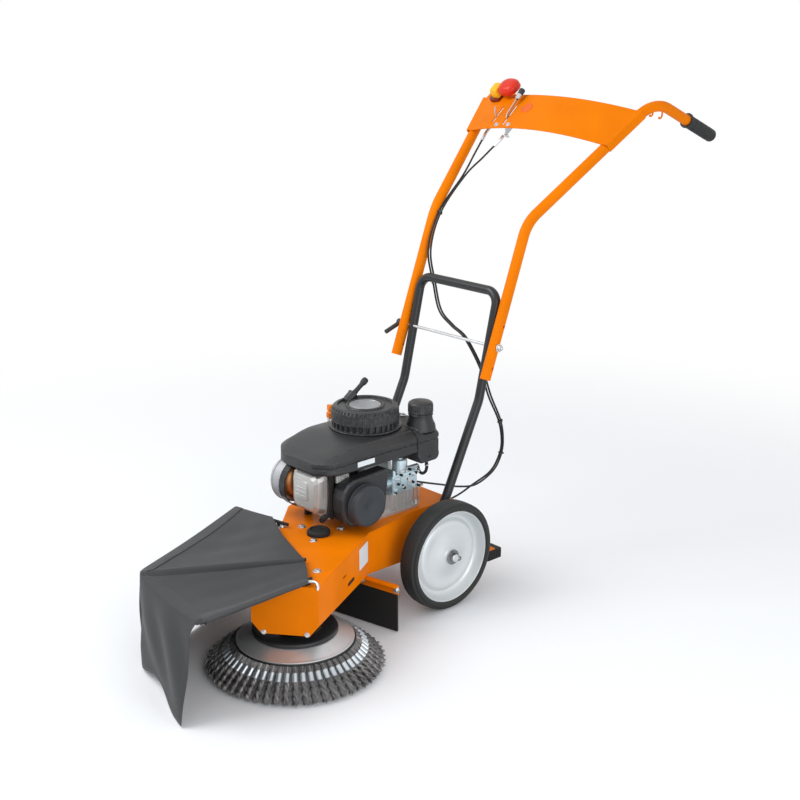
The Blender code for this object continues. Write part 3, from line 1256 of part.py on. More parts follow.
def make_cables():
    """Throttle and clutch cables, each in two stretches that meet beside the handle's pivot."""
    frame = panel_frame()
    start = frame @ Vector((THROTTLE_X - 0.008, -0.0745, 0.006))
    second = frame @ Vector((-0.186, -0.056, 0.006))
    drop = [HANDLE_PIVOT + Vector(p) for p in (
        (-0.178, 0.2215, 0.379), (-0.152, 0.1065, 0.295), (-0.145, 0.0615, 0.199), (-0.125, 0.0615, 0.111),
        (-0.090, 0.0505, 0.043), (-0.020, 0.0285, 0.017))]
    meet = Vector((0.050, ROD_Y + ROD_RADIUS + CABLE_RADIUS + 0.0016, ROD_Z))
    tail = [HANDLE_PIVOT + Vector((0.090, 0.0275, -0.077)), HANDLE_PIVOT + Vector((0.100, 0.0505, -0.155)),
            (0.104, 0.300, 0.400), (0.104, 0.312, 0.335), (0.100, 0.300, 0.289), (0.094, 0.276, 0.258),
            (0.086, 0.226, 0.236)]
    to_engine = [(0.085, 0.172, 0.242), (0.090, 0.098, 0.268), (0.104, 0.030, 0.294), (0.110, -0.0175, 0.312)]
    to_belt = [(0.078, 0.170, 0.214), (0.070, 0.105, 0.205), (0.052, 0.020, 0.209), (0.010, -0.060, 0.217),
               (-0.030, -0.140, 0.224), (-0.0445, -0.1865, 0.226)]
    apart = 2 * CABLE_RADIUS + 0.0018
    beside = []
    for i, here in enumerate(drop):
        heading = (drop + [meet])[i + 1] - drop[max(i - 1, 0)]
        beside.append(here + Vector((-heading.y, heading.x, 0)).normalized() * apart)
    aside = Vector((0.0004, apart, 0.0))
    clutch_step = Vector((0.0022, -0.0004, -0.0022))
    throttle_step = Vector((0.0040, -0.0004, -0.0044))
    cable("throttle_cable_upper", [start, start.lerp(beside[0], 0.5), *beside, meet + aside])
    cable("clutch_cable_upper", [second, second.lerp(drop[0], 0.5), *drop, meet])
    shifts = [aside, Vector((0.78, 0.64, 0)) * apart, Vector((0.98, 0.20, 0)) * apart]
    shifts += [Vector((2 * CABLE_RADIUS + 1.5 * GAP, 0, 0))]
    shifts += [Vector((apart, 0, 0))] * (len(tail) - len(shifts))
    tail_beside = [Vector(p) + shift for p, shift in zip(tail, shifts)]
    cable("throttle_cable_lower", [meet + aside + throttle_step, *tail_beside, *to_engine])
    cable("clutch_cable_lower", [meet + clutch_step, *tail, *to_belt])


def hood_levels():
    """Underside heights of the hood's top sheet, over the deck and at its outer tips."""
    return DECK_TOP + ROD_LIFT + 2 * HOOD_ROD_RADIUS + 2 * GAP, HOOD_EDGE_Z


def make_hood_rods():
    """Three steel rods, each on a foot on the deck: level over it, then falling to the hood's tips."""
    over_deck, edge = hood_levels()
    hang = HOOD_ROD_RADIUS + 4 * GAP
    front = Vector(arm_front(ARM_END_WIDTH / 2 - 0.036))
    hub = Vector(HOOD_HUB)
    corner = Vector(FAR_CORNER)
    lines = (("hood_rod_front", front + Vector((-0.006, 0.030)), front + Vector((0, 0.002)), HOOD_FRONT_TIP,
              (-0.0045, 0.0095)),
             ("hood_rod_middle", hub + Vector((0.012, 0.014)), hub, HOOD_CORNER, (0.010, 0.014)),
             ("hood_rod_rear", corner + Vector((0.022, 0.008)), corner + Vector((-0.030, -0.0015)),
              HOOD_REAR_TIP, (0.0125, -0.0040)))
    for name, root, bend, tip, short in lines:
        end = Vector(tip) + Vector(short)
        level = over_deck - hang
        path = [Vector((*root, level)), Vector((*bend, level)), Vector((*end, edge - hang))]
        rod = place(name, tube_along(path, HOOD_ROD_RADIUS, 10), STEEL, 0.3, 0.9)
        reach = ROD_FOOT / 2
        foot = path[0].lerp(path[1], 0.5)
        fuse(rod, block((foot.x - reach, foot.y - reach, DECK_TOP + GAP),
                        (foot.x + reach, foot.y + reach, foot.z)))


def make_hood_cloth():
    """Plain closed solids of the hood: the top sheet and its hanging skirt."""
    over_deck, edge = hood_levels()
    front = arm_front(ARM_END_WIDTH / 2 - 0.030)
    rim = [(HOOD_REAR_EDGE, over_deck), ((0.045, -0.384), over_deck), (HOOD_HUB, over_deck),
           ((front[0] + 0.004, front[1] + 0.006), over_deck), (HOOD_FRONT_TIP, edge), (HOOD_CORNER, edge),
           (HOOD_REAR_TIP, edge)]
    bm = bmesh.new()
    layers = []
    for lift in (0.0, CLOTH):
        layers.append([bm.verts.new((*p, z + lift)) for p, z in rim])
    low, high = layers
    hub = 2
    for i in range(len(rim)):
        k = (i + 1) % len(rim)
        bm.faces.new((low[i], low[k], high[k], high[i]))
        if hub not in (i, k):
            bm.faces.new((low[hub], low[k], low[i]))
            bm.faces.new((high[hub], high[i], high[k]))
    place("hood_canopy", bm, (0.10, 0.10, 0.105), 0.8)

    top = HOOD_EDGE_Z - GAP
    rear_x, rear_y = HOOD_REAR_TIP
    corner_x, corner_y = HOOD_CORNER
    foot = ((rear_x - 0.004, rear_y - 0.002), (corner_x - 0.001, corner_y - 0.002), SKIRT_FRONT_FOOT)
    bulge = ((rear_x - 0.002, rear_y - 0.001), (corner_x, corner_y - 0.003), SKIRT_FRONT_FOOT)
    sections = []
    for line, z in (((HOOD_REAR_TIP, HOOD_CORNER, HOOD_FRONT_TIP), top), (bulge, 0.200), (foot, SKIRT_LOW)):
        rear, corner, tip = (Vector(p) for p in line)
        side_in = Vector((-(corner - rear).normalized().y, (corner - rear).normalized().x))
        front_in = Vector((-(tip - corner).normalized().y, (tip - corner).normalized().x))
        mitre = (side_in + front_in).normalized()
        mitre *= CLOTH / mitre.dot(side_in)
        inner = (tip + front_in * CLOTH, corner + mitre, rear + side_in * CLOTH)
        sections.append([(*p, z) for p in (rear, corner, tip, *inner)])
    place("hood_skirt", loft(sections), (0.10, 0.10, 0.105), 0.8)


def centre_machine():
    """Moves everything so that the origin lies under the middle of the machine's box."""
    bpy.context.view_layer.update()
    graph = bpy.context.evaluated_depsgraph_get()
    corners = []
    for obj in MACHINE.children:
        if obj.hide_render:
            continue
        evaluated = obj.evaluated_get(graph)
        mesh = evaluated.to_mesh()
        corners += [evaluated.matrix_world @ v.co for v in mesh.vertices]
        evaluated.to_mesh_clear()
    low = [min(c[i] for c in corners) for i in range(3)]
    high = [max(c[i] for c in corners) for i in range(3)]
    MACHINE.location = (-(low[0] + high[0]) / 2, -(low[1] + high[1]) / 2, -low[2])


def main():
    make_deck()
    make_base_plate()
    make_access_cap()
    make_axle()
    for name, side in (("left", 1), ("right", -1)):
        make_tyre(f"tyre_{name}", side)
        make_rim(f"rim_{name}", side)
        make_tube(f"handle_tube_{name}", side)
        make_grip(f"grip_{name}", side)
    make_brush()
    make_housing()
    make_belt_drive()
    make_flap()
    make_step()
    make_engine_block()
    make_cylinder()
    make_muffler()
    make_cowl()
    make_tank()
    make_recoil()
    make_intake()
    make_lower_handle()
    make_panel()
    make_controls()
    make_clamp()
    make_cables()
    make_hood_rods()
    make_hood_cloth()
    centre_machine()


main()
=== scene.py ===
"""Looks of the walk-behind weed brush machine: finishes, wires, cloth, mouldings and small fittings.

Lengths are in metres, and in millimetres in the tables given to mm() and stepped().
Machine coordinates have the axle above the origin, +X to the operator's left, +Y towards the operator
and +Z up; on_machine() turns them into the frame's own coordinates.
"""

import json
import math
import random

import bmesh
import bpy
from bpy.props import FloatProperty, FloatVectorProperty, IntProperty, PointerProperty
from mathutils import Matrix, Quaternion, Vector


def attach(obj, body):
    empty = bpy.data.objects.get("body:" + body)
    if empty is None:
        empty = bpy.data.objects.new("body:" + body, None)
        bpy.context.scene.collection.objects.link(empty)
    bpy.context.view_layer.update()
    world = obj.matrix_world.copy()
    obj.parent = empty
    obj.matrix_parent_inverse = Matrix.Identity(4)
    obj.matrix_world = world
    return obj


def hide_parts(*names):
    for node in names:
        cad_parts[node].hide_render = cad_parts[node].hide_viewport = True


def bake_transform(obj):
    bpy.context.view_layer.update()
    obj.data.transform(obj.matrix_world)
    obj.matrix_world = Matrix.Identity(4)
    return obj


bl_info = {
    "name": "Weed brush machine",
    "version": (1, 0, 0),
    "blender": (4, 5, 0),
    "location": "View3D > Sidebar > Weed brush",
    "description": "Dresses the frame of a walk-behind weed brush machine and sets its stage",
    "category": "Object",
}

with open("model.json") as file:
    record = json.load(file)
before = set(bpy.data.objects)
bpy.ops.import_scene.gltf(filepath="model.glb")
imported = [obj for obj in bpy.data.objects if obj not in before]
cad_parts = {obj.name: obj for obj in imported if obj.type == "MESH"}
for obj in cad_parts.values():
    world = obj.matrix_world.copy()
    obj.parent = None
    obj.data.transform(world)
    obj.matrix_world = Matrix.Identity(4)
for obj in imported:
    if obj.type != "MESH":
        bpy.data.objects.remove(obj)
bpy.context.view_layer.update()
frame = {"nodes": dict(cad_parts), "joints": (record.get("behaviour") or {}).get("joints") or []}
NODES = frame["nodes"]
JOINTS = {joint["name"]: joint for joint in frame["joints"]}
LEFT_WHEEL = Vector(JOINTS["wheel_left_spin"]["pos_m"])
RIGHT_WHEEL = Vector(JOINTS["wheel_right_spin"]["pos_m"])
HANDLE_PIVOT = Vector(JOINTS["handlebar_tilt"]["pos_m"])
BRUSH_AXIS = Vector(JOINTS["brush_spin"]["pos_m"]).xy.to_3d()
CRANK_AXIS = Vector(JOINTS["crank_spin"]["pos_m"]).xy.to_3d()
ORIGIN = Vector(((LEFT_WHEEL.x + RIGHT_WHEEL.x) / 2, LEFT_WHEEL.y, 0))
AXLE_HEIGHT = LEFT_WHEEL.z

# The side arm points forwards and to the left
ARM_ANGLE = math.radians(38.5)
ARM_FORWARD = Vector((math.sin(ARM_ANGLE), -math.cos(ARM_ANGLE), 0))
ARM_LEFT = Vector((math.cos(ARM_ANGLE), math.sin(ARM_ANGLE), 0))
ARM_REACH = 0.091
ARM_HALF_WIDTH = 0.078
DECK_TOP = 0.24

# Handlebar centre lines, in machine coordinates
TUBE_X = 0.168
LEG_X = 0.1415
TUBE_FOOT = (TUBE_X, 0.178, 0.553)
TUBE_BEND = (TUBE_X, 0.32, 0.938)
TUBE_CREST = (0.281, 0.668, 1.229)
TUBE_END = (0.291, 0.902, 1.125)
LEG_FOOT = (LEG_X, 0.029, 0.17)
LEG_KNEE = (LEG_X, 0.184, 0.492)
LEG_TOP = (LEG_X, 0.2475, 0.765)
TUBE_RADIUS = 0.014
LEG_RADIUS = 0.012
PIN_HOLE_RADIUS = 0.0043
CABLE_RADIUS = 0.0026
HOSE_RADIUS = 0.004
FLOOR_DROP = 0.0004


def on_machine(x, y, z):
    """A point given in machine coordinates, in the frame's coordinates."""
    return ORIGIN + Vector((x, y, z))


def on_arm(forward, left, z):
    """A point measured from the brush's axis along the arm."""
    return BRUSH_AXIS + ARM_FORWARD * forward + ARM_LEFT * left + Vector((0, 0, z))


# ---- shapes


def aimed(direction, place=(0, 0, 0), up=(0, 0, 1)):
    """A placement whose Z runs along a direction."""
    z = Vector(direction).normalized()
    guide = Vector(up)
    if abs(z.dot(guide)) > 0.99:
        guide = Vector((0, 1, 0))
    x = guide.cross(z).normalized()
    made = Matrix((x, z.cross(x), z)).transposed().to_4x4()
    made.translation = Vector(place)
    return made


def curve_through(points, per_span=6):
    """A smooth run of points through the ones given, in two or three dimensions."""
    given = [Vector(p) for p in points]
    padded = [2 * given[0] - given[1], *given, 2 * given[-1] - given[-2]]
    run = []
    for i in range(1, len(padded) - 2):
        a, b, c, d = padded[i - 1:i + 3]
        for k in range(per_span):
            t = k / per_span
            run.append(0.5 * (2 * b + (c - a) * t + (2 * a - 5 * b + 4 * c - d) * t * t
                + (3 * b - 3 * c + d - a) * t ** 3))
    run.append(given[-1])
    return run


def bent_tube_line(corners, radii, steps):
    """Straight runs joined by arcs, as a tube bender makes them."""
    corners = [Vector(c) for c in corners]
    line = [corners[0]]
    for i, radius in enumerate(radii, start=1):
        here = corners[i]
        back = (corners[i - 1] - here).normalized()
        ahead = (corners[i + 1] - here).normalized()
        half = back.angle(ahead) / 2
        centre = here + (back + ahead).normalized() * (radius / math.sin(half))
        start = here + back * (radius / math.tan(half)) - centre
        end = here + ahead * (radius / math.tan(half)) - centre
        turn = start.rotation_difference(end)
        line += [centre + Quaternion().slerp(turn, k / steps) @ start for k in range(steps + 1)]
    line.append(corners[-1])
    return line


def skin(bm, loops, closed=False, caps=True):
    """Quads between neighbouring loops of points."""
    rings = [[bm.verts.new(p) for p in loop] for loop in loops]
    count = len(rings[0])
    for i in range(len(rings) if closed else len(rings) - 1):
        low, high = rings[i], rings[(i + 1) % len(rings)]
        for j in range(count):
            k = (j + 1) % count
            bm.faces.new((low[j], low[k], high[k], high[j]))
    if caps and not closed:
        bm.faces.new(list(reversed(rings[0])))
        bm.faces.new(rings[-1])
    return bm


def mm(*rows):
    """Rows of lengths given in millimetres."""
    return [tuple(length / 1000 for length in row) for row in rows]


def stepped(radius, height, *rows):
    """Rows of a turned profile, given in millimetres from a radius and a height."""
    return [(radius + out / 1000, height + up / 1000) for out, up in rows]


def full_turn(count):
    """Angles of points spread evenly round a circle."""
    return [2 * math.pi * i / count for i in range(count)]


def facing_left(x, y, z):
    """A placement on the machine whose Z points to the operator's left."""
    return aimed((1, 0, 0), on_machine(x, y, z))


def lathe(bm, profile, sides, where):
    """A turned solid about the placement's Z, from a closed profile of (radius, height).

    A row may go on with a depth and a run: its radius then steps in by the depth after each run of sides.
    """
    rings = []
    for radius, height, *notch in profile:
        if radius < 1e-6:
            rings.append([bm.verts.new(where @ Vector((0, 0, height)))])
            continue
        depth, run = notch or (0.0, 1)
        ring = []
        for i, angle in enumerate(full_turn(sides)):
            reach = radius - (depth if i // run % 2 else 0.0)
            ring.append(bm.verts.new(where @ Vector((reach * math.cos(angle), reach * math.sin(angle),
                height))))
        rings.append(ring)
    for i, low in enumerate(rings):
        high = rings[(i + 1) % len(rings)]
        if len(low) == 1 and len(high) == 1:
            continue
        for j in range(sides):
            k = (j + 1) % sides
            if len(low) == 1:
                bm.faces.new((low[0], high[k], high[j]))
            elif len(high) == 1:
                bm.faces.new((low[j], low[k], high[0]))
            else:
                bm.faces.new((low[j], low[k], high[k], high[j]))
    return bm


def sweep(bm, line, radius, sides, flat=1.0, up=None):
    """A bar along a line. Its radius may be a function of the share of the line; flat squeezes it."""
    loops = []
    side = Vector(up) if up else None
    for i, here in enumerate(line):
        heading = (line[min(i + 1, len(line) - 1)] - line[max(i - 1, 0)]).normalized()
        if side is None:
            side = heading.orthogonal().normalized()
        side = (side - heading * side.dot(heading)).normalized()
        across = heading.cross(side)
        reach = radius(i / (len(line) - 1)) if callable(radius) else radius
        loops.append([here + reach * (side * math.cos(a) * flat + across * math.sin(a))
            for a in full_turn(sides)])
    return skin(bm, loops)


def plate(bm, outline, low, high, where=None):
    """A flat outline made into a solid between two heights, in machine coordinates unless placed."""
    where = Matrix.Translation(ORIGIN) if where is None else where
    return skin(bm, [[where @ Vector((x, y, z)) for x, y in outline] for z in (low, high)])


def round_corners(x0, x1, y0, y1, radius, steps=5):
    """A rectangle with round corners."""
    corners = ((x1 - radius, y0 + radius, -90), (x1 - radius, y1 - radius, 0),
        (x0 + radius, y1 - radius, 90), (x0 + radius, y0 + radius, 180))
    return [(cx + radius * math.cos(math.radians(start + 90 * i / steps)), cy
        + radius * math.sin(math.radians(start + 90 * i / steps))) for cx, cy, start in corners
        for i in range(steps + 1)]


def slab(bm, outline, low, high):
    """A rectangular block with round corners, in machine coordinates."""
    return plate(bm, round_corners(*outline), low, high)


def hex_bolt(bm, where, width, length, washer=True):
    """A hexagon head with a chamfered crown on a washer."""
    seat = 0.0
    if washer:
        lathe(bm, [(0, 0), (width * 0.85, 0), (width * 0.85, 0.0011), (width * 0.8, 0.0015), (0, 0.0015)],
            20, where)
        seat = 0.0014
    corner = width / math.sqrt(3)
    hexagon = [(corner * math.cos(math.pi * i / 3), corner * math.sin(math.pi * i / 3)) for i in range(6)]
    loops = []
    for share, height in ((1.0, seat), (1.0, seat + length * 0.82), (0.86, seat + length)):
        loops.append([where @ Vector((x * share, y * share, height)) for x, y in hexagon])
    return skin(bm, loops)


def nut_and_stud(bm, where, width, stud):
    """A nut with the bolt's end standing out of it."""
    hex_bolt(bm, where, width, width * 0.45)
    top = 0.0014 + width * 0.45
    r = width * 0.28
    return lathe(bm, [(0, top - 0.001), (r, top - 0.001), (r, top + stud - 0.001), (r * 0.7, top + stud),
        (0, top + stud)], 12, where)


def cable_tie(bm, where, radius):
    """A cable tie: its band round the cable and its lock."""
    band = [where @ Vector(((radius + 0.0006) * math.cos(a), (radius + 0.0006) * math.sin(a), 0))
        for a in (2 * math.pi * i / 14 for i in range(15))]
    sweep(bm, band, 0.0016, 6, 0.45, where.to_3x3() @ Vector((1, 0, 0)))
    x = radius + 0.0012
    return plate(bm, round_corners(x - 0.0012, x + 0.0034, -0.0022, 0.0022, 0.0006, 2), -0.0022, 0.0022,
        where)


FINISHES = {}
# The solids' material for the finishes that aren't named after it
SLOT_OF = {
    "clip_steel": "zinc_steel", "bare_plate": "zinc_steel", "blank_label": "zinc_steel",
    "grip_rubber": "black_rubber", "collar_steel": "brush_wire", "hood_thread": "hood_cloth",
    "orange_plug": "orange_plastic", "dark_red_plastic": "red_plastic", "copper_cone": "silencer_steel",
    "filter_plastic": "black_plastic", "zinc_casting": "cast_alloy",
}


def make_piece(name, bm, finish, body, stands_for=(), slot=None, sharp=40, second_finish=None):
    """A finished piece: a smooth-shaded mesh with its material, riding on a body of the frame."""
    bmesh.ops.recalc_face_normals(bm, faces=bm.faces)
    mesh = bpy.data.meshes.new(name)
    bm.to_mesh(mesh)
    bm.free()
    mesh.shade_smooth()
    mesh.set_sharp_from_angle(angle=math.radians(sharp))
    for coat in filter(None, (finish, second_finish)):
        mesh.materials.append(FINISHES[coat])
    piece = bpy.data.objects.new(name, mesh)
    bpy.context.scene.collection.objects.link(piece)
    if body:
        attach(piece, body)
    if stands_for:
        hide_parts(*stands_for)
    slot = slot or SLOT_OF.get(finish, finish)
    return piece


# ---- effects shared by the finishes


def effect(name, inputs, outputs):
    """An empty shader node group with its sockets; returns it with its input and output nodes."""
    group = bpy.data.node_groups.new(name, "ShaderNodeTree")
    for label, value in inputs:
        socket = group.interface.new_socket(name=label, in_out="INPUT", socket_type="NodeSocketFloat")
        socket.default_value = value
    for label, kind in outputs:
        group.interface.new_socket(name=label, in_out="OUTPUT", socket_type=kind)
    return group, group.nodes.new("NodeGroupInput"), group.nodes.new("NodeGroupOutput")


def put(tree, kind, fed, **settings):
    """Adds a node; fed gives its sockets, by name or number, another node's output or a value."""
    node = tree.nodes.new(kind)
    for key, value in settings.items():
        setattr(node, key, value)
    for socket, value in fed.items():
        if isinstance(value, bpy.types.NodeSocket):
            tree.links.new(value, node.inputs[socket])
        else:
            node.inputs[socket].default_value = value
    return node


def object_place(tree):
    """The place on the object itself."""
    return put(tree, "ShaderNodeTexCoord", {}).outputs["Object"]


def noise(tree, place, scale, detail):
    """Soft noise, from 0 to 1."""
    return put(tree, "ShaderNodeTexNoise", {"Vector": place, "Scale": scale, "Detail": detail}).outputs["Fac"]


def stretched(tree, value, low, high):
    """Values between low and high, stretched to run from 0 to 1."""
    return put(tree, "ShaderNodeMapRange", {"Value": value, "From Min": low,
        "From Max": high}).outputs["Result"]


def sums(tree, operation, first, second):
    """The result of a maths node on two values."""
    return put(tree, "ShaderNodeMath", {0: first, 1: second}, operation=operation).outputs["Value"]


def surface_grain():
    """Fine grain of a moulded or sprayed skin, with slow clouding across the piece."""
    group, given, result = effect("surface_grain", [("Grain Scale", 700.0), ("Cloud Scale", 9.0)],
        [("Grain", "NodeSocketFloat"), ("Cloud", "NodeSocketFloat")])
    place = object_place(group)
    for scale, output, detail in (("Grain Scale", "Grain", 2.0), ("Cloud Scale", "Cloud", 4.0)):
        mask = stretched(group, noise(group, place, given.outputs[scale], detail), 0.3, 0.7)
        group.links.new(mask, result.inputs[output])
    return group


def edge_wear_and_highlight():
    """Rounded-looking edges, and a broken mask along them: paint or skin rubbing thin, and on the black
    mouldings mostly a painted highlight along edges and creases.
    """
    group, given, result = effect("edge_wear_and_highlight", [("Radius", 0.0012), ("Amount", 0.5)],
        [("Wear And Highlight", "NodeSocketFloat"), ("Normal", "NodeSocketVector")])
    rounded = put(group, "ShaderNodeBevel", {"Radius": given.outputs["Radius"]}, samples=4).outputs["Normal"]
    flat = put(group, "ShaderNodeNewGeometry", {}).outputs["Normal"]
    facing = put(group, "ShaderNodeVectorMath", {0: rounded, 1: flat},
        operation="DOT_PRODUCT").outputs["Value"]
    edge = stretched(group, facing, 0.995, 0.9)
    broken = stretched(group, noise(group, object_place(group), 120.0, 5.0), 0.46, 0.62)
    worn_and_lit = sums(group, "MULTIPLY", sums(group, "MULTIPLY", edge, broken), given.outputs["Amount"])
    group.links.new(worn_and_lit, result.inputs["Wear And Highlight"])
    group.links.new(rounded, result.inputs["Normal"])
    return group


def settled_dust():
    """A thin, patchy film of dust on faces that look up."""
    group, given, result = effect("settled_dust", [("Amount", 0.2)], [("Dust", "NodeSocketFloat")])
    normal = put(group, "ShaderNodeNewGeometry", {}).outputs["Normal"]
    upward = put(group, "ShaderNodeSeparateXYZ", {"Vector": normal}).outputs["Z"]
    patches = noise(group, object_place(group), 26.0, 6.0)
    film = sums(group, "MULTIPLY", stretched(group, upward, 0.3, 1.0), patches)
    group.links.new(sums(group, "MULTIPLY", film, given.outputs["Amount"]), result.inputs["Dust"])
    return group


def drawn_streaks():
    """Fine lines that rolling, drawing or turning leaves in bare metal."""
    group, given, result = effect("drawn_streaks", [("Scale", 60.0), ("Stretch", 14.0)],
        [("Streaks", "NodeSocketFloat")])
    split = put(group, "ShaderNodeSeparateXYZ", {"Vector": object_place(group)}).outputs
    drawn = sums(group, "MULTIPLY", split["Z"], given.outputs["Stretch"])
    joined = put(group, "ShaderNodeCombineXYZ", {"X": split["X"], "Y": split["Y"], "Z": drawn})
    streaks = noise(group, joined.outputs["Vector"], given.outputs["Scale"], 3.0)
    group.links.new(streaks, result.inputs["Streaks"])
    return group


def cloth_weave():
    """A plain weave of round threads, from two crossing sets of waves."""
    group, given, result = effect("cloth_weave", [("Threads", 900.0)], [("Height", "NodeSocketFloat"),
        ("Shade", "NodeSocketFloat")])
    place = object_place(group)
    feed = {"Vector": place, "Scale": given.outputs["Threads"], "Distortion": 0.6}
    waves = [put(group, "ShaderNodeTexWave", feed, bands_direction=way).outputs["Fac"] for way in ("X", "Y")]
    group.links.new(sums(group, "MAXIMUM", *waves), result.inputs["Height"])
    group.links.new(noise(group, place, 7.0, 5.0), result.inputs["Shade"])
    return group


EFFECTS = {}


def add_effect(tree, name, maker, **values):
    """Places a shared effect in a material with its own values."""
    if name not in EFFECTS:
        EFFECTS[name] = maker()
    node = tree.nodes.new("ShaderNodeGroup")
    node.node_tree = EFFECTS[name]
    for label, value in values.items():
        node.inputs[label.replace("_", " ")].default_value = value
    return node


def blend_colours(tree, mask, below, above):
    """Mixes a colour or socket over another by a mask."""
    mix = tree.nodes.new("ShaderNodeMix")
    mix.data_type = "RGBA"
    tree.links.new(mask, mix.inputs["Factor"])
    for socket, colour in ((mix.inputs["A"], below), (mix.inputs["B"], above)):
        if isinstance(colour, bpy.types.NodeSocket):
            tree.links.new(colour, socket)
        else:
            socket.default_value = (*colour, 1)
    return mix.outputs["Result"]


def bare_material(name, metallic, coat=0.0, gloss=0.5):
    """A new material with its plain values; returns it with its tree and its shader."""
    made = bpy.data.materials.new(name)
    made.use_nodes = True
    tree = made.node_tree
    shader = tree.nodes["Principled BSDF"]
    shader.inputs["Metallic"].default_value = metallic
    shader.inputs["Specular IOR Level"].default_value = gloss
    shader.inputs["Coat Weight"].default_value = coat
    shader.inputs["Coat Roughness"].default_value = 0.12
    return made, tree, shader


def set_roughness(tree, shader, mask, smooth, rough):
    spread = put(tree, "ShaderNodeMapRange", {"Value": mask, "To Min": smooth, "To Max": rough})
    tree.links.new(spread.outputs["Result"], shader.inputs["Roughness"])


def set_bump(tree, shader, height, distance, strength, normal=None):
    bump = put(tree, "ShaderNodeBump", {"Height": height, "Distance": distance, "Strength": strength})
    if normal is not None:
        tree.links.new(normal, bump.inputs["Normal"])
    tree.links.new(bump.outputs["Normal"], shader.inputs["Normal"])


def skin_finish(finish, name, colour, clouded, rubbed_and_lit_colour, rough, metallic=0.0, grain=700.0, bump=0.00008,
        wear_and_highlight=0.5, dust=0.15, coat=0.0, edge=0.0012, gloss=0.28):
    """A sprayed, moulded or cast skin: clouded colour, fine grain, lighter edges from rubbing and from
    painted highlight, and a little dust.
    """
    made, tree, shader = bare_material(name, metallic, coat, gloss)
    fine = add_effect(tree, "surface_grain", surface_grain, Grain_Scale=grain)
    rub_and_lit = add_effect(tree, "edge_wear_and_highlight", edge_wear_and_highlight, Radius=edge, Amount=wear_and_highlight)
    film = add_effect(tree, "settled_dust", settled_dust, Amount=dust)
    body = blend_colours(tree, fine.outputs["Cloud"], colour, clouded)
    # The edge colour blended in here stands for real rubbing and, on the black mouldings, for a painted
    # highlight
    worn_and_lit = blend_colours(tree, rub_and_lit.outputs["Wear And Highlight"], body, rubbed_and_lit_colour)
    dusty = blend_colours(tree, film.outputs["Dust"], worn_and_lit, (0.42, 0.4, 0.37))
    tree.links.new(dusty, shader.inputs["Base Color"])
    set_roughness(tree, shader, fine.outputs["Cloud"], rough[0], rough[1])
    set_bump(tree, shader, fine.outputs["Grain"], bump, 0.6, rub_and_lit.outputs["Normal"])
    FINISHES[finish] = made


def metal_finish(finish, name, colour, shaded, rough, metallic=0.9, scale=60.0, stretch=14.0, bump=0.00003,
        edge=0.0006):
    """Bare or plated metal with drawn streaks and clouded plating."""
    made, tree, shader = bare_material(name, metallic)
    lines = add_effect(tree, "drawn_streaks", drawn_streaks, Scale=scale, Stretch=stretch)
    fine = add_effect(tree, "surface_grain", surface_grain, Grain_Scale=400.0, Cloud_Scale=30.0)
    rub_and_lit = add_effect(tree, "edge_wear_and_highlight", edge_wear_and_highlight, Radius=edge, Amount=0.4)
    body = blend_colours(tree, lines.outputs["Streaks"], colour, shaded)
    patched = blend_colours(tree, fine.outputs["Cloud"], body, colour)
    worn_and_lit = blend_colours(tree, rub_and_lit.outputs["Wear And Highlight"], patched, tuple(min(1.0, c * 1.25) for c in colour))
    tree.links.new(worn_and_lit, shader.inputs["Base Color"])
    set_roughness(tree, shader, lines.outputs["Streaks"], rough[0], rough[1])
    set_bump(tree, shader, lines.outputs["Streaks"], bump, 0.5, rub_and_lit.outputs["Normal"])
    FINISHES[finish] = made


def cloth_finish(finish, name, colour, light, threads=900.0):
    """Coated woven hood cloth: plain weave, soft handling marks and a dull sheen."""
    made, tree, shader = bare_material(name, 0.0, gloss=0.22)
    weave = add_effect(tree, "cloth_weave", cloth_weave, Threads=threads)
    film = add_effect(tree, "settled_dust", settled_dust, Amount=0.02)
    body = blend_colours(tree, weave.outputs["Shade"], colour, light)
    dusty = blend_colours(tree, film.outputs["Dust"], body, (0.34, 0.34, 0.34))
    tree.links.new(dusty, shader.inputs["Base Color"])
    set_roughness(tree, shader, weave.outputs["Shade"], 0.46, 0.62)
    set_bump(tree, shader, weave.outputs["Height"], 0.0002, 0.35)
    shader.inputs["Sheen Weight"].default_value = 0.04
    shader.inputs["Sheen Roughness"].default_value = 0.45
    FINISHES[finish] = made


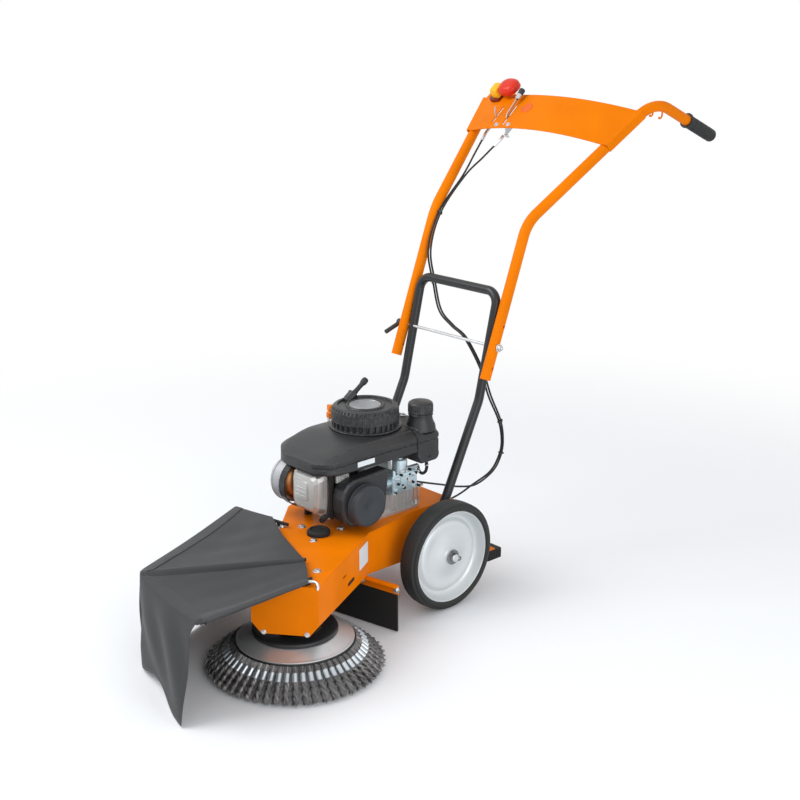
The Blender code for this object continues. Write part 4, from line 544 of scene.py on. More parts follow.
def mix_finishes():
    """Every finish of the machine, by its plain name."""
    paint = bpy.context.scene.weed_brush_paint
    orange, black = tuple(paint.orange), tuple(paint.black)
    deep_orange = tuple(c * 0.86 for c in orange)
    moulded = {"grain": 1300.0, "bump": 0.00005, "wear_and_highlight": 0.1, "dust": 0.03}
    skin_finish("orange_paint", "orange_powder_coat", orange, deep_orange, (0.95, 0.4, 0.1), (0.3, 0.42),
        grain=520.0, bump=0.00005, wear_and_highlight=0.18, dust=0.0, edge=0.0014, gloss=0.04)
    skin_finish("black_steel", "black_powder_coat", black, (0.013, 0.014, 0.015), (0.07, 0.07, 0.07),
        (0.28, 0.4), grain=520.0, bump=0.00005, wear_and_highlight=0.25, dust=0.02, edge=0.001, gloss=0.4)
    # Black mouldings: the pale colour on edges and creases is mostly a painted highlight, with a little real
    # rubbing
    skin_finish("black_plastic", "moulded_black_plastic", (0.015, 0.0155, 0.017), (0.022, 0.023, 0.025),
        (0.105, 0.107, 0.112), (0.34, 0.48), grain=1300.0, bump=0.0001, wear_and_highlight=0.95, dust=0.02, edge=0.0026,
        gloss=0.45)
    skin_finish("black_rubber", "black_rubber", (0.012, 0.012, 0.012), (0.018, 0.0175, 0.017),
        (0.04, 0.04, 0.04), (0.62, 0.8), grain=900.0, bump=0.00012, wear_and_highlight=0.2, dust=0.03, edge=0.0012)
    skin_finish("tyre_rubber", "tyre_rubber", (0.021, 0.023, 0.025), (0.03, 0.029, 0.028),
        (0.055, 0.052, 0.048), (0.55, 0.74), grain=800.0, bump=0.00014, wear_and_highlight=0.35, dust=0.06, edge=0.0015)
    skin_finish("rim_paint", "silver_rim_paint", (0.6, 0.63, 0.64), (0.67, 0.69, 0.7), (0.75, 0.76, 0.77),
        (0.3, 0.42), metallic=0.4, grain=900.0, bump=0.00001, wear_and_highlight=0.0, dust=0.02, edge=0.001)
    metal_finish("zinc_steel", "zinc_plated_steel", (0.66, 0.67, 0.68), (0.5, 0.51, 0.53), (0.22, 0.36))
    metal_finish("disc_steel", "spun_steel_disc", (0.7, 0.71, 0.72), (0.6, 0.61, 0.63), (0.34, 0.46),
        metallic=0.7, scale=22.0, stretch=1.0)
    metal_finish("brush_wire", "brush_wire_steel", (0.27, 0.26, 0.26), (0.05, 0.048, 0.048), (0.22, 0.38),
        metallic=0.85, scale=90.0, stretch=3.0)
    metal_finish("clip_steel", "dull_spring_steel", (0.22, 0.23, 0.24), (0.15, 0.155, 0.16), (0.3, 0.42),
        metallic=0.85)
    metal_finish("collar_steel", "bright_knot_collar", (0.58, 0.62, 0.65), (0.4, 0.43, 0.46), (0.28, 0.42),
        metallic=0.9)
    skin_finish("cast_alloy", "cast_aluminium", (0.62, 0.62, 0.61), (0.46, 0.46, 0.45), (0.84, 0.84, 0.82),
        (0.28, 0.46), metallic=0.65, grain=420.0, bump=0.00022, wear_and_highlight=0.8, dust=0.03, edge=0.0016)
    skin_finish("zinc_casting", "blue_zinc_casting", (0.38, 0.56, 0.64), (0.66, 0.76, 0.8),
        (0.88, 0.93, 0.95), (0.2, 0.36), metallic=0.75, grain=380.0, bump=0.00025, wear_and_highlight=0.9, dust=0.0,
        edge=0.0016)
    skin_finish("fin_alloy", "black_cast_fins", (0.017, 0.017, 0.018), (0.028, 0.028, 0.028),
        (0.14, 0.14, 0.14), (0.38, 0.56), metallic=0.4, grain=420.0, bump=0.0002, wear_and_highlight=0.6, dust=0.05,
        edge=0.001)
    metal_finish("silencer_steel", "aluminised_muffler", (0.46, 0.47, 0.49), (0.38, 0.39, 0.41),
        (0.5, 0.64), metallic=0.5, scale=16.0, stretch=2.0)
    metal_finish("copper_cone", "heat_tinted_pipe", (0.6, 0.26, 0.09), (0.34, 0.15, 0.07), (0.3, 0.45),
        metallic=0.8)
    skin_finish("orange_plastic", "orange_moulding", orange, deep_orange, (0.95, 0.42, 0.12), (0.28, 0.38),
        **moulded, edge=0.001)
    skin_finish("yellow_plastic", "yellow_switch_housing", tuple(paint.yellow), (0.86, 0.44, 0.01),
        (0.95, 0.62, 0.1), (0.28, 0.4), **moulded, edge=0.0012)
    skin_finish("red_plastic", "red_stop_lever", tuple(paint.red), (0.6, 0.03, 0.01), (0.86, 0.16, 0.08),
        (0.24, 0.36), **moulded, edge=0.0016)
    skin_finish("cable_sheath", "black_cable_sheath", (0.015, 0.015, 0.016), (0.022, 0.022, 0.023),
        (0.04, 0.04, 0.04), (0.4, 0.55), grain=900.0, bump=0.00004, wear_and_highlight=0.0, dust=0.05, edge=0.0005)
    skin_finish("grip_rubber", "ribbed_grip_rubber", (0.018, 0.018, 0.019), (0.026, 0.026, 0.026),
        (0.05, 0.05, 0.05), (0.46, 0.62), grain=1100.0, bump=0.0001, wear_and_highlight=0.3, dust=0.02, edge=0.001,
        gloss=0.4)
    metal_finish("bare_plate", "blank_silver_plate", (0.34, 0.35, 0.36), (0.26, 0.27, 0.28), (0.34, 0.46),
        metallic=0.6)
    skin_finish("blank_label", "blank_pale_label", (0.74, 0.78, 0.8), (0.68, 0.72, 0.75), (0.8, 0.82, 0.84),
        (0.3, 0.4), grain=600.0, bump=0.00002, wear_and_highlight=0.0, dust=0.02, edge=0.0002)
    cloth_finish("hood_cloth", "coated_hood_cloth", (0.033, 0.0335, 0.035), (0.05, 0.0505, 0.052))
    cloth_finish("hood_hem", "folded_hood_hem", (0.048, 0.0485, 0.05), (0.07, 0.0705, 0.072), 700.0)
    cloth_finish("hood_thread", "hood_thread", (0.11, 0.11, 0.115), (0.15, 0.15, 0.155), 2600.0)
    skin_finish("orange_plug", "deep_orange_plug", (0.8, 0.14, 0.006), (0.74, 0.12, 0.006),
        (0.86, 0.24, 0.04), (0.34, 0.46), grain=1300.0, bump=0.00005, wear_and_highlight=0.15, dust=0.03, edge=0.0008)
    skin_finish("dark_red_plastic", "dark_red_switch_seat", (0.2, 0.02, 0.01), (0.15, 0.016, 0.009),
        (0.42, 0.1, 0.06), (0.3, 0.42), **moulded, edge=0.001)
    skin_finish("filter_plastic", "blue_grey_filter_cover", (0.03, 0.035, 0.041), (0.04, 0.045, 0.051),
        (0.11, 0.12, 0.13), (0.34, 0.46), grain=1300.0, bump=0.00008, wear_and_highlight=0.6, dust=0.04, edge=0.0022)


NODE_FINISH = {
    "orange_paint": ("frame_deck", "flap_strip", "foot_step"),
    "black_steel": ("arm_base_plate", "spindle_housing", "muffler_guard"),
    "zinc_steel": ("axle", "spindle_bearing", "spindle_shaft", "brush_pulley", "engine_pulley",
                   "tension_arm", "crankshaft", "clamp_rod", "throttle_lever"),
    "black_rubber": ("belt_access_cap", "drive_belt", "stone_flap", "hood_rod_front", "hood_rod_middle",
                     "hood_rod_rear"),
    "black_plastic": ("air_filter_box", "tension_pulley", "clamp_lever"),
    "cast_alloy": ("crankcase", "valve_cover"),
    "zinc_casting": ("carburettor",),
    "fin_alloy": ("cylinder",),
    "orange_plastic": ("oil_dipstick",),
}


def finish_nodes():
    """Gives each solid that stays in view its finish."""
    for finish, names in NODE_FINISH.items():
        for name in names:
            data = NODES[name].data
            data.materials.clear()
            data.materials.append(FINISHES[finish])


# ---- wheels


def build_wheels():
    """Solid tyres on stepped pressed rims, each held by a washer and a spring clip on the axle."""
    sizes = bpy.context.scene.weed_brush_wheels
    tyre_r, rim_r, half = sizes.tyre_radius, sizes.rim_radius, sizes.tyre_width / 2
    crown = [(tyre_r - 0.0012 * (x / 0.019) ** 2, x) for x in (0.0, 0.006, 0.012, 0.019)]
    shoulder = [*stepped(tyre_r, 0, (-1.6, 20.3), (-3, 21.2), (-8.5, 21.8), (-9.6, 23), (-8.6, 24.6),
        (-9.8, 26)), (tyre_r - 0.013, half - 0.0002), *stepped(rim_r, half, (4.5, 0), (2, -0.8), (0.2, -3))]
    outer = crown + shoulder
    tyre = outer + [(r, -x) for r, x in reversed(outer[1:])]
    edge = half - 0.0052
    face = curve_through([(rim_r - 0.0014, edge + 0.001), (rim_r - 0.0034, edge + 0.0004),
        *mm((112.5, 13), (107.5, 3), (102.5, -2), (97.5, -3), (93, 1.6), (88.5, 6.4), (80, 7.8), (68, 5.8),
        (58, 5.4), (45, 7.8), (30, 12.8), (20.5, 16.2), (17.8, 19))], 4)
    back = curve_through([*mm((17.8, 10), (30, 8.8), (45, 4.2), (62, 1.5), (87, 2), (96.5, -6.2),
        (106, -7.8)), (rim_r - 0.0036, -edge)], 4)
    hub_end = sizes.hub_length / 2
    rim = [(rim_r, edge)] + [tuple(p) for p in face]
    rim += [(0.0174, hub_end - 0.0008), (0.0166, hub_end), (0.0108, hub_end), (0.0108, -hub_end),
        (0.0174, -hub_end)]
    rim += [tuple(p) for p in back] + [(rim_r, -edge)]
    for name, centre, side in (("left", LEFT_WHEEL, 1), ("right", RIGHT_WHEEL, -1)):
        where = aimed((side, 0, 0), centre)
        body = f"wheel_{name}"
        make_piece(f"solid_tyre_{name}", lathe(bmesh.new(), tyre, 144, where), "tyre_rubber", body,
            [f"tyre_{name}"], sharp=50)
        make_piece(f"pressed_rim_{name}", lathe(bmesh.new(), rim, 96, where), "rim_paint", body,
            [f"rim_{name}"], sharp=50)
        build_axle_clip(name, centre, side, hub_end)


def build_axle_clip(name, centre, side, hub_end):
    """The washer on the axle's end and the spring clip through it."""
    where = aimed((side, 0, 0), centre)
    bm = bmesh.new()
    seat = hub_end + 0.0004
    lathe(bm, stepped(0, seat, (10.3, 0), (19.5, 0), (19.5, 1.6), (18.9, 2), (10.3, 2)), 32, where)
    wire_level = seat + 0.0042
    tilt = Matrix.Rotation(math.radians(-38), 4, "Z")
    wire = mm((-15, 0), (0, 0), (16, 0), (21.5, 1.2), (24.6, 4.4), (23.6, 8.4), (19.6, 9.8), (15, 7.8),
        (10, 9.4), (4, 12.8), (-4, 13), (-9.5, 10.4), (-12.5, 9.8), (-16.5, 12.8))
    line = curve_through([where @ tilt @ Vector((x, y, wire_level)) for x, y in wire], 5)
    sweep(bm, line, 0.0021, 10)
    make_piece(f"axle_clip_{name}", bm, "clip_steel", "frame")


# ---- brush


def outward_at(angle):
    """The level direction at an angle about the vertical."""
    return Vector((math.cos(angle), math.sin(angle), 0))


def knot_line(angle, outward_share):
    """A point on one knot's middle line."""
    sizes = bpy.context.scene.weed_brush_brush
    start = outward_at(angle) * sizes.ring_radius + Vector((0, 0, sizes.ring_height))
    reach = sizes.radius - 0.004
    tip = outward_at(angle) * reach + Vector((0, 0, sizes.tip_height))
    return BRUSH_AXIS + start.lerp(tip, outward_share)


def knot_spread(share):
    """How far the wires stand from the knot's middle: across and through it, as shares of its width."""
    flat, bound, full = (0.5, 0.26), (0.36, 0.34), (0.52, 0.5)
    if share < 0.2:
        t = share / 0.2
        return tuple(a + (b - a) * t for a, b in zip(flat, bound))
    if share < 0.36:
        return bound
    t = min(1.0, (share - 0.36) / 0.18)
    return tuple(a + (b - a) * t for a, b in zip(bound, full))


def build_knots():
    """Knots whose wires lie flat in the ring, run through a collar, wind up as strands and fray."""
    sizes = bpy.context.scene.weed_brush_brush
    chance = random.Random(sizes.seed)
    bm = bmesh.new()
    collars = bmesh.new()
    stations = (0.0, 0.1, 0.2, 0.3, 0.38, 0.46, 0.54, 0.62, 0.7, 0.78, 0.86, 0.93, 1.0)
    for number in range(sizes.knots):
        angle = 2 * math.pi * number / sizes.knots
        across = Vector((0, 0, 1)).cross(outward_at(angle))
        heading = (knot_line(angle, 1.0) - knot_line(angle, 0.0)).normalized()
        above = heading.cross(across).normalized() * -1
        turns = sizes.twist * (1 + chance.uniform(-0.06, 0.06))
        start_turn = chance.uniform(-0.25, 0.25)
        lean = across * chance.uniform(-0.0009, 0.0009)
        for strand in range(sizes.strands):
            base = 2 * math.pi * strand / sizes.strands
            for wire in range(sizes.wires):
                own = 2 * math.pi * wire / sizes.wires
                fray = Vector((chance.uniform(-1, 1), chance.uniform(-1, 1), chance.uniform(-1, 1))) * 0.0013
                stop = 1.0 - chance.uniform(0.0, 0.05)
                line = []
                for share in stations:
                    share = min(share, stop)
                    wide, deep = (s * sizes.knot_width for s in knot_spread(share))
                    wound = max(0.0, share - 0.34) / 0.66 * turns * 2 * math.pi
                    turn = base + start_turn + wound
                    spin = own + wound * 1.4
                    x = wide * 0.62 * math.cos(turn) + wide * 0.4 * math.cos(spin)
                    z = deep * 0.62 * math.sin(turn) + deep * 0.4 * math.sin(spin)
                    loose = fray * max(0.0, (share - 0.88) / 0.12) + lean * share
                    line.append(knot_line(angle, share) + across * x + above * z + loose)
                sweep(bm, line, sizes.wire / 2, 5)
        cuff_line = [knot_line(angle, share) for share in (0.175, 0.187, 0.25, 0.34, 0.408, 0.42)]
        grow = (0.84, 1.0, 0.96, 0.96, 1.0, 0.84)
        sweep(collars, cuff_line, lambda share: sizes.knot_width * 0.43 * grow[round(share * 5)], 14, 1.0,
            above)
        core_line = [knot_line(angle, share) for share in (0.0, 0.2, 0.5, 0.8, 0.94)]
        sweep(bm, core_line, sizes.knot_width * 0.26, 6)
    make_piece("brush_knots", bm, "brush_wire", "brush", ["wire_brush"], sharp=60)
    make_piece("brush_knot_collars", collars, "collar_steel", "brush")


def build_brush_plates():
    """The ring that clamps the knots, the sloping disc over them and the black boss that drives them."""
    sizes = bpy.context.scene.weed_brush_brush
    up = Matrix.Translation(BRUSH_AXIS)
    top, rim = sizes.disc_top, sizes.disc_rim
    sheet = 0.003
    bore = 0.0128
    upper = curve_through([*stepped(0, top, (96, 0), (100, -1), (106, -3.5)), *stepped(0, rim, (124, 4),
        (132, 0.8), (136, -0.2), (137.8, -1.4))], 4)
    lower = [(r - 0.0012, z - sheet) for r, z in reversed(upper)]
    disc = [(bore, top)] + [tuple(p) for p in upper] + lower + [(bore, top - sheet)]
    make_piece("brush_cover_disc", lathe(bmesh.new(), disc, 120, up), "disc_steel", "brush", ["brush_disc"],
        sharp=50)
    low = sizes.ring_height - 0.0045
    high = rim - sheet - 0.0004
    ring = [(0.1285, low), (0.1395, low), (0.1402, low + 0.001), (0.1402, high - 0.0008), (0.1395, high),
        (0.1285, high)]
    make_piece("brush_clamp_ring", lathe(bmesh.new(), ring, 96, up), "black_steel", "brush")
    seat = top + 0.0003
    boss = [(bore, seat), *stepped(0, seat, (99.2, 0), (100, 0.8), (100, 6.8), (99, 9), (97, 10), (62, 10),
        (60, 9.5), (57, 7.2), (55, 6.8), (31, 6.8), (29, 7.4), (27, 10)), (bore, seat + 0.01)]
    bm = lathe(bmesh.new(), boss, 96, up)
    make_piece("brush_drive_boss", bm, "black_steel", "brush", ["brush_hub"])


# ---- hood

MIDDLE_ROD = 0.45
HOOD_ROOTS = ((0.0, (0.31, -0.516)), (0.16, (0.282, -0.495)), (0.3, (0.252, -0.474)),
    (MIDDLE_ROD, (0.212, -0.449)), (0.75, (0.06, -0.396)), (1.0, (-0.052, -0.342)))
HOOD_TIPS = ((0.0, (0.283, -0.792)), (MIDDLE_ROD, (-0.018, -0.748)), (1.0, (-0.206, -0.336)))
SKIRT_FEET = ((0.0, (0.271, -0.833)), (MIDDLE_ROD, (-0.019, -0.75)), (1.0, (-0.21, -0.338)))
RIDGE_HEIGHT, RIDGE_WIDTH = 0.0048, 0.011
PLEAT_OFFSET, PLEAT_WIDTH = 0.021, 0.012
HEM_WIDTH, HEM_STEP, HEM_SLOPE = 0.02, 0.00065, 0.0016
REAR_PANEL_WIDTH = 0.25
EDGE_ROLL = 0.006
FRONT_ROD = ((0.2975, -0.5206, 0.2498), (0.2785, -0.7825, 0.2311))
REAR_ROD = ((-0.045, -0.3475, 0.2498), (-0.1935, -0.34, 0.2311))


def on_edge(edge, place):
    """A point on one of the hood's edges, from the front rod (0) past the middle one to the rear rod (1)."""
    for (low, start), (high, end) in zip(edge, edge[1:]):
        if place <= high:
            return Vector(start).lerp(Vector(end), (place - low) / (high - low))
    return Vector(edge[-1][1])


def on_rim(edge, place):
    """The same with the corner at the middle rod's tip rounded off."""
    soft = 0.035
    if abs(place - MIDDLE_ROD) >= soft:
        return on_edge(edge, place)
    start, corner, end = (on_edge(edge, MIDDLE_ROD + step) for step in (-soft, 0, soft))
    t = (place - MIDDLE_ROD + soft) / (2 * soft)
    return start * (1 - t) ** 2 + corner * (2 * t * (1 - t)) + end * t * t


def front_panel_width(out):
    """How far the middle rod is from the front one, from the deck (0) to the rim (1)."""
    return 0.132 + 0.172 * out


def on_canopy(place, out, lift=0.0):
    """A point of the hood's top sheet; out runs from the deck (0) to the rim (1)."""
    sizes = bpy.context.scene.weed_brush_hood
    root, rim = on_edge(HOOD_ROOTS, place), on_rim(HOOD_TIPS, place)
    at = root.lerp(rim, out)
    share = place / MIDDLE_ROD if place < MIDDLE_ROD else (1 - place) / (1 - MIDDLE_ROD)
    panel = math.sin(math.pi * share)
    z = sizes.height_at_deck + (sizes.height_at_tips - sizes.height_at_deck) * out
    z -= sizes.sag * panel * math.sin(math.pi * 0.92 * out ** 1.3)
    swell = math.sin(math.pi * min(1.0, 0.12 + 0.86 * out)) ** 0.5
    ahead = MIDDLE_ROD - place
    z += RIDGE_HEIGHT * math.exp(-(ahead / RIDGE_WIDTH) ** 2) * swell
    if ahead > 0:
        z -= sizes.pleat * math.exp(-((ahead - PLEAT_OFFSET) / PLEAT_WIDTH) ** 2) * swell
    z += 0.0011 * math.sin(41 * place + 5 * out) * panel * math.sin(math.pi * out)
    z += 0.0008 * math.sin(17 * out + 9 * place) * panel
    from_front = place / MIDDLE_ROD * front_panel_width(out)
    z += HEM_STEP * (1 - math.tanh((from_front - HEM_WIDTH) / HEM_SLOPE)) * math.sin(3.14 * out) ** 0.3
    from_rear = (1 - place) / (1 - MIDDLE_ROD) * REAR_PANEL_WIDTH
    for distance in (from_front, from_rear):
        z -= EDGE_ROLL * max(0.0, 1 - distance / EDGE_ROLL) ** 2
    return on_machine(at.x, at.y, z + lift)


def skirt_place(along):
    """Place on the rim from the share along the skirt: rear tip 0, corner 1, front tip 2."""
    return 1 - along * (1 - MIDDLE_ROD) if along < 1 else MIDDLE_ROD * (2 - along)


def seam_inset(along):
    """How far in from the rim the skirt is sewn to the top sheet."""
    if along < 1:
        return 0.026
    return 0.012 + 0.02 * math.sin(math.pi * (along - 1))


def on_overlap(along, inward, lift):
    """A point of the skirt's upper border, which lies on the top sheet."""
    place = skirt_place(along)
    reach = (on_rim(HOOD_TIPS, place) - on_edge(HOOD_ROOTS, place)).length
    return on_canopy(place, 1 - inward / reach, lift)


def on_skirt(along, down):
    """A point of the hanging skirt; down runs from the rim (0) to the hem (1)."""
    if along > 1:
        x = along - 1
        pull = math.sin(math.pi / 2 * down / 0.2) if down < 0.2 else 1 - (down - 0.2) / 0.8
        along = 1 + x * (1 - 0.075 * pull)
        bulge = 0.013 * math.sin(math.pi * x) * math.sin(math.pi * down ** 0.6)
        bulge += 0.004 * math.sin(2 * math.pi * (1.3 * x + 0.12)) * down
        bulge += 0.0042 * math.sin(2 * math.pi * (2.2 * x - 0.9 * down)) * math.sin(math.pi * down)
        rise = 0.02 * math.exp(-((x - 0.36) / 0.22) ** 2) + 0.004 * math.sin(math.pi * x)
    else:
        bulge = 0.009 * math.sin(3 * math.pi * along) * down + 0.003 * math.sin(math.pi * down)
        bulge += 0.0028 * math.sin(2 * math.pi * (2.0 * along + 0.8 * down)) * math.sin(math.pi * down)
        rise = 0.004 * math.sin(math.pi * along)
    place = skirt_place(along)
    top, foot = on_rim(HOOD_TIPS, place), on_rim(SKIRT_FEET, place)
    before = on_rim(HOOD_TIPS, max(0.0, place - 0.01))
    after = on_rim(HOOD_TIPS, min(1.0, place + 0.01))
    run = (after - before).normalized()
    outward = Vector((-run.y, run.x))
    if outward.dot(top - Vector(HOOD_ROOTS[1][1])) < 0:
        outward = -outward
    at = top.lerp(foot, down) + outward * (bulge + 0.0016)
    rim_height = on_canopy(place, 1.0).z - ORIGIN.z + 0.0006
    low = 0.0046 + rise
    return on_machine(at.x, at.y, rim_height + (low - rim_height) * down)


def cloth_sheet(bm, grid, thickness, hem_rows, hem_columns, last_rows=0):
    """A closed thin sheet through a grid of points, with its first and last rows marked as hem."""
    rows, columns = len(grid), len(grid[0])
    layers = [[], []]
    for i in range(rows):
        top, under = [], []
        for j in range(columns):
            down = grid[min(i + 1, rows - 1)][j] - grid[max(i - 1, 0)][j]
            side = grid[i][min(j + 1, columns - 1)] - grid[i][max(j - 1, 0)]
            normal = down.cross(side).normalized() * (thickness / 2)
            top.append(bm.verts.new(grid[i][j] + normal))
            under.append(bm.verts.new(grid[i][j] - normal))
        layers[0].append(top)
        layers[1].append(under)
    for i in range(rows - 1):
        for j in range(columns - 1):
            for layer in layers:
                face = bm.faces.new((layer[i][j], layer[i + 1][j], layer[i + 1][j + 1], layer[i][j + 1]))
                if i < hem_rows and j < hem_columns or i >= rows - 1 - last_rows:
                    face.material_index = 1
    rim = [(0, j) for j in range(columns)] + [(i, columns - 1) for i in range(1, rows)]
    rim += [(rows - 1, j) for j in range(columns - 2, -1, -1)] + [(i, 0) for i in range(rows - 2, 0, -1)]
    for (a, b), (c, d) in zip(rim, rim[1:] + rim[:1]):
        bm.faces.new((layers[0][a][b], layers[0][c][d], layers[1][c][d], layers[1][a][b]))
    return bm


def stitch_row(bm, line, step=0.0042, length=0.0026, thread=0.00035):
    """A row of thread dashes along a line."""
    travelled = 0.0
    due = 0.0
    for a, b in zip(line, line[1:]):
        span = (b - a).length
        heading = (b - a).normalized()
        while due < travelled + span:
            start = a + heading * (due - travelled)
            sweep(bm, [start, start + heading * length], thread, 4)
            due += step
        travelled += span
    return bm


def build_hood():
    """The cloth hood: a top sheet over three rods, the skirt sewn to it, sleeves and stitching."""
    sizes = bpy.context.scene.weed_brush_hood
    shares = [i / 150 for i in range(151)]
    canopy_grid = [[on_canopy(place, out) for place in shares] for out in (k / 44 for k in range(45))]
    bm = cloth_sheet(bmesh.new(), canopy_grid, sizes.cloth, 45, 8)
    top = make_piece("hood_top_sheet", bm, "hood_cloth", "frame", ["hood_canopy"], sharp=70,
        second_finish="hood_hem")

    turns = [i / 60 for i in range(121)]
    skirt_grid = [[on_overlap(along, seam_inset(along) * share + 0.001, 0.0015) for along in turns]
        for share in (1.0, 0.8, 0.5, 0.2, 0.05)]
    steps = (0.0, 0.006, 0.014, 0.026, 0.042, 0.065, 0.095, *(0.13 + 0.87 * k / 24 for k in range(25)))
    skirt_grid += [[on_skirt(along, down) for along in turns] for down in steps]
    bm = cloth_sheet(bmesh.new(), skirt_grid, sizes.cloth, 4, 61, 1)
    skirt = make_piece("hood_hanging_skirt", bm, "hood_cloth", "frame", ["hood_skirt"], sharp=70,
        second_finish="hood_hem")

    sleeves = bmesh.new()
    for (start, end), radius, low, high in ((FRONT_ROD, 0.0068, 0.0, 0.955), (REAR_ROD, 0.0062, 0.12, 0.97)):
        a, b = on_machine(*start), on_machine(*end)
        line = [a.lerp(b, low + (high - low) * k / 24) + Vector((0, 0, -0.0008)) for k in range(25)]
        sweep(sleeves, line, lambda share, r=radius: r * (1 + 0.04 * math.sin(19 * share)), 18)
    sleeves = make_piece("hood_rod_sleeves", sleeves, "hood_cloth", "frame")

    seams = bmesh.new()
    for inward_share, lift in ((0.9, 0.0024), (0.72, 0.0024)):
        stitch_row(seams, [on_overlap(along, seam_inset(along) * inward_share, lift)
            for along in turns[2:-2]])
    for inward in (0.0105, 0.0175):
        stitch_row(seams, [on_canopy(inward / front_panel_width(out) * MIDDLE_ROD, out, 0.0009)
            for out in (k / 40 for k in range(1, 37))])
    for down in (0.945, 0.962):
        stitch_row(seams, [on_skirt(along, down) + skirt_normal(along, down) * 0.0009
            for along in turns[2:-2]])
    near_edge = [on_skirt(1.955, k / 30) + skirt_normal(1.955, k / 30) * 0.0009 for k in range(2, 29)]
    stitch_row(seams, near_edge)
    thread = make_piece("hood_stitching", seams, "hood_thread", "frame")


def skirt_normal(along, down):
    """The direction the skirt faces, away from the brush."""
    across = on_skirt(min(2.0, along + 0.01), down) - on_skirt(max(0.0, along - 0.01), down)
    drop = on_skirt(along, min(1.0, down + 0.01)) - on_skirt(along, max(0.0, down - 0.01))
    normal = across.cross(drop).normalized()
    return normal if normal.dot(on_skirt(along, down) - BRUSH_AXIS) > 0 else -normal


# ---- handlebar


def bored(piece, cutters):
    """Cuts holes through a finished piece."""
    bmesh.ops.recalc_face_normals(cutters, faces=cutters.faces)
    tool_mesh = bpy.data.meshes.new("cutters")
    cutters.to_mesh(tool_mesh)
    cutters.free()
    tool = bpy.data.objects.new("cutters", tool_mesh)
    bpy.context.scene.collection.objects.link(tool)
    cut = piece.modifiers.new("holes", "BOOLEAN")
    cut.operation = "DIFFERENCE"
    cut.solver = "EXACT"
    cut.object = tool
    bpy.context.view_layer.update()
    graph = bpy.context.evaluated_depsgraph_get()
    done = bpy.data.meshes.new_from_object(piece.evaluated_get(graph))
    piece.modifiers.clear()
    piece.data = done
    bpy.data.objects.remove(tool, do_unlink=True)
    return piece


def mirrored(point, side):
    return Vector((side * point[0], point[1], point[2]))


def build_tubes():
    """The orange tubes with their adjusting holes, the ribbed grips and the black lower handle."""
    pivot = HANDLE_PIVOT - ORIGIN
    lean = (Vector(TUBE_BEND) - Vector(TUBE_FOOT)).normalized()
    for name, side in (("left", 1), ("right", -1)):
        corners = [ORIGIN + mirrored(p, side) for p in (TUBE_FOOT, TUBE_BEND, TUBE_CREST, TUBE_END)]
        line = bent_tube_line(corners, [0.12, 0.095], 16)
        tube = make_piece(f"bent_tube_{name}", sweep(bmesh.new(), line, TUBE_RADIUS, 36), "orange_paint",
            "handlebar", [f"handle_tube_{name}"])
        holes = bmesh.new()
        for step in (-1, 0, 1):
            at = ORIGIN + Vector((side * TUBE_X, pivot.y, pivot.z)) + lean * 0.055 * step
            sweep(holes, [at - Vector((0.02, 0, 0)), at + Vector((0.02, 0, 0))], PIN_HOLE_RADIUS, 20)
        bored(tube, holes)
        build_grip(name, corners[-1], corners[-1] - corners[-2])
    near = [LEG_FOOT, LEG_KNEE, LEG_TOP]
    corners = [ORIGIN + Vector(p) for p in near] + [ORIGIN + mirrored(p, -1) for p in reversed(near)]
    line = bent_tube_line(corners, [0.1, 0.035, 0.035, 0.1], 14)
    handle = make_piece("lower_handle_bow", sweep(bmesh.new(), line, LEG_RADIUS, 32), "black_steel",
        "frame", ["lower_handle"])
    hole = sweep(bmesh.new(), [HANDLE_PIVOT + Vector((x, 0, 0)) for x in (-LEG_X - 0.03, LEG_X + 0.03)],
        PIN_HOLE_RADIUS, 20)
    bored(handle, hole)


def build_grip(name, end, direction):
    """A rubber grip: a collar, five panels of fine ribs and a rounded closed end."""
    sizes = bpy.context.scene.weed_brush_handle
    start = 0.01 - sizes.grip_length
    r = sizes.grip_radius
    outer = [(0.0143, start), *stepped(r, start, (2.4, 0), (3, 0.8), (3, 3.4), (2.2, 4.4), (-1, 5.2))]
    panels = 5
    span = (sizes.grip_length - 0.022) / panels
    for i in range(panels):
        low = start + 0.006 + i * span
        ribs = 6
        for k in range(ribs):
            base = low + 0.001 + k * (span - 0.003) / ribs
            pitch = (span - 0.003) / ribs
            outer += [(r - 0.0009, base), (r + 0.0001, base + pitch * 0.25),
                (r + 0.0001, base + pitch * 0.7), (r - 0.0009, base + pitch * 0.95)]
        outer += [(r - 0.0026, low + span - 0.002), (r - 0.0028, low + span - 0.0006)]
    outer += [*stepped(r, 0, (0, 1.5), (-0.4, 4.5), (-2, 7.2), (-5, 9.2), (-9, 10)),
        *mm((0, 10), (0, 0.4), (14.3, 0.4))]
    make_piece(f"ribbed_grip_{name}", lathe(bmesh.new(), outer, 48, aimed(direction, end)), "grip_rubber",
        "handlebar", [f"grip_{name}"])


# ---- console

SHEET = 0.003
ARCH_FOOT = 0.0143
ARCH_RISE = 0.028
# How far behind the stop switch's first place the whole switch sits
BEHIND = 0.012


def console_frame():
    """Console coordinates: X across, Y up along the tubes, Z out of the tubes' plane."""
    rise = Vector((0, TUBE_CREST[1] - TUBE_BEND[1], TUBE_CREST[2] - TUBE_BEND[2])).normalized()
    out = Vector((1, 0, 0)).cross(rise)
    made = Matrix((Vector((1, 0, 0)), rise, out)).transposed().to_4x4()
    at = Vector(TUBE_BEND).lerp(Vector(TUBE_CREST), 0.738)
    made.translation = on_machine(0, at.y, at.z)
    return made


def tube_spread(v):
    """Half-distance between the tubes' centre lines at a height on the console."""
    at = console_frame() @ Vector((0, v, 0)) - ORIGIN
    return TUBE_X + (TUBE_CREST[0] - TUBE_X) * (at.y - TUBE_BEND[1]) / (TUBE_CREST[1] - TUBE_BEND[1])


def console_height(x, v):
    """How far the arched sheet's underside stands out of the tubes' plane."""
    u = x / (tube_spread(v) - 0.004)
    return ARCH_FOOT + ARCH_RISE * max(0.0, 1 - u * u)


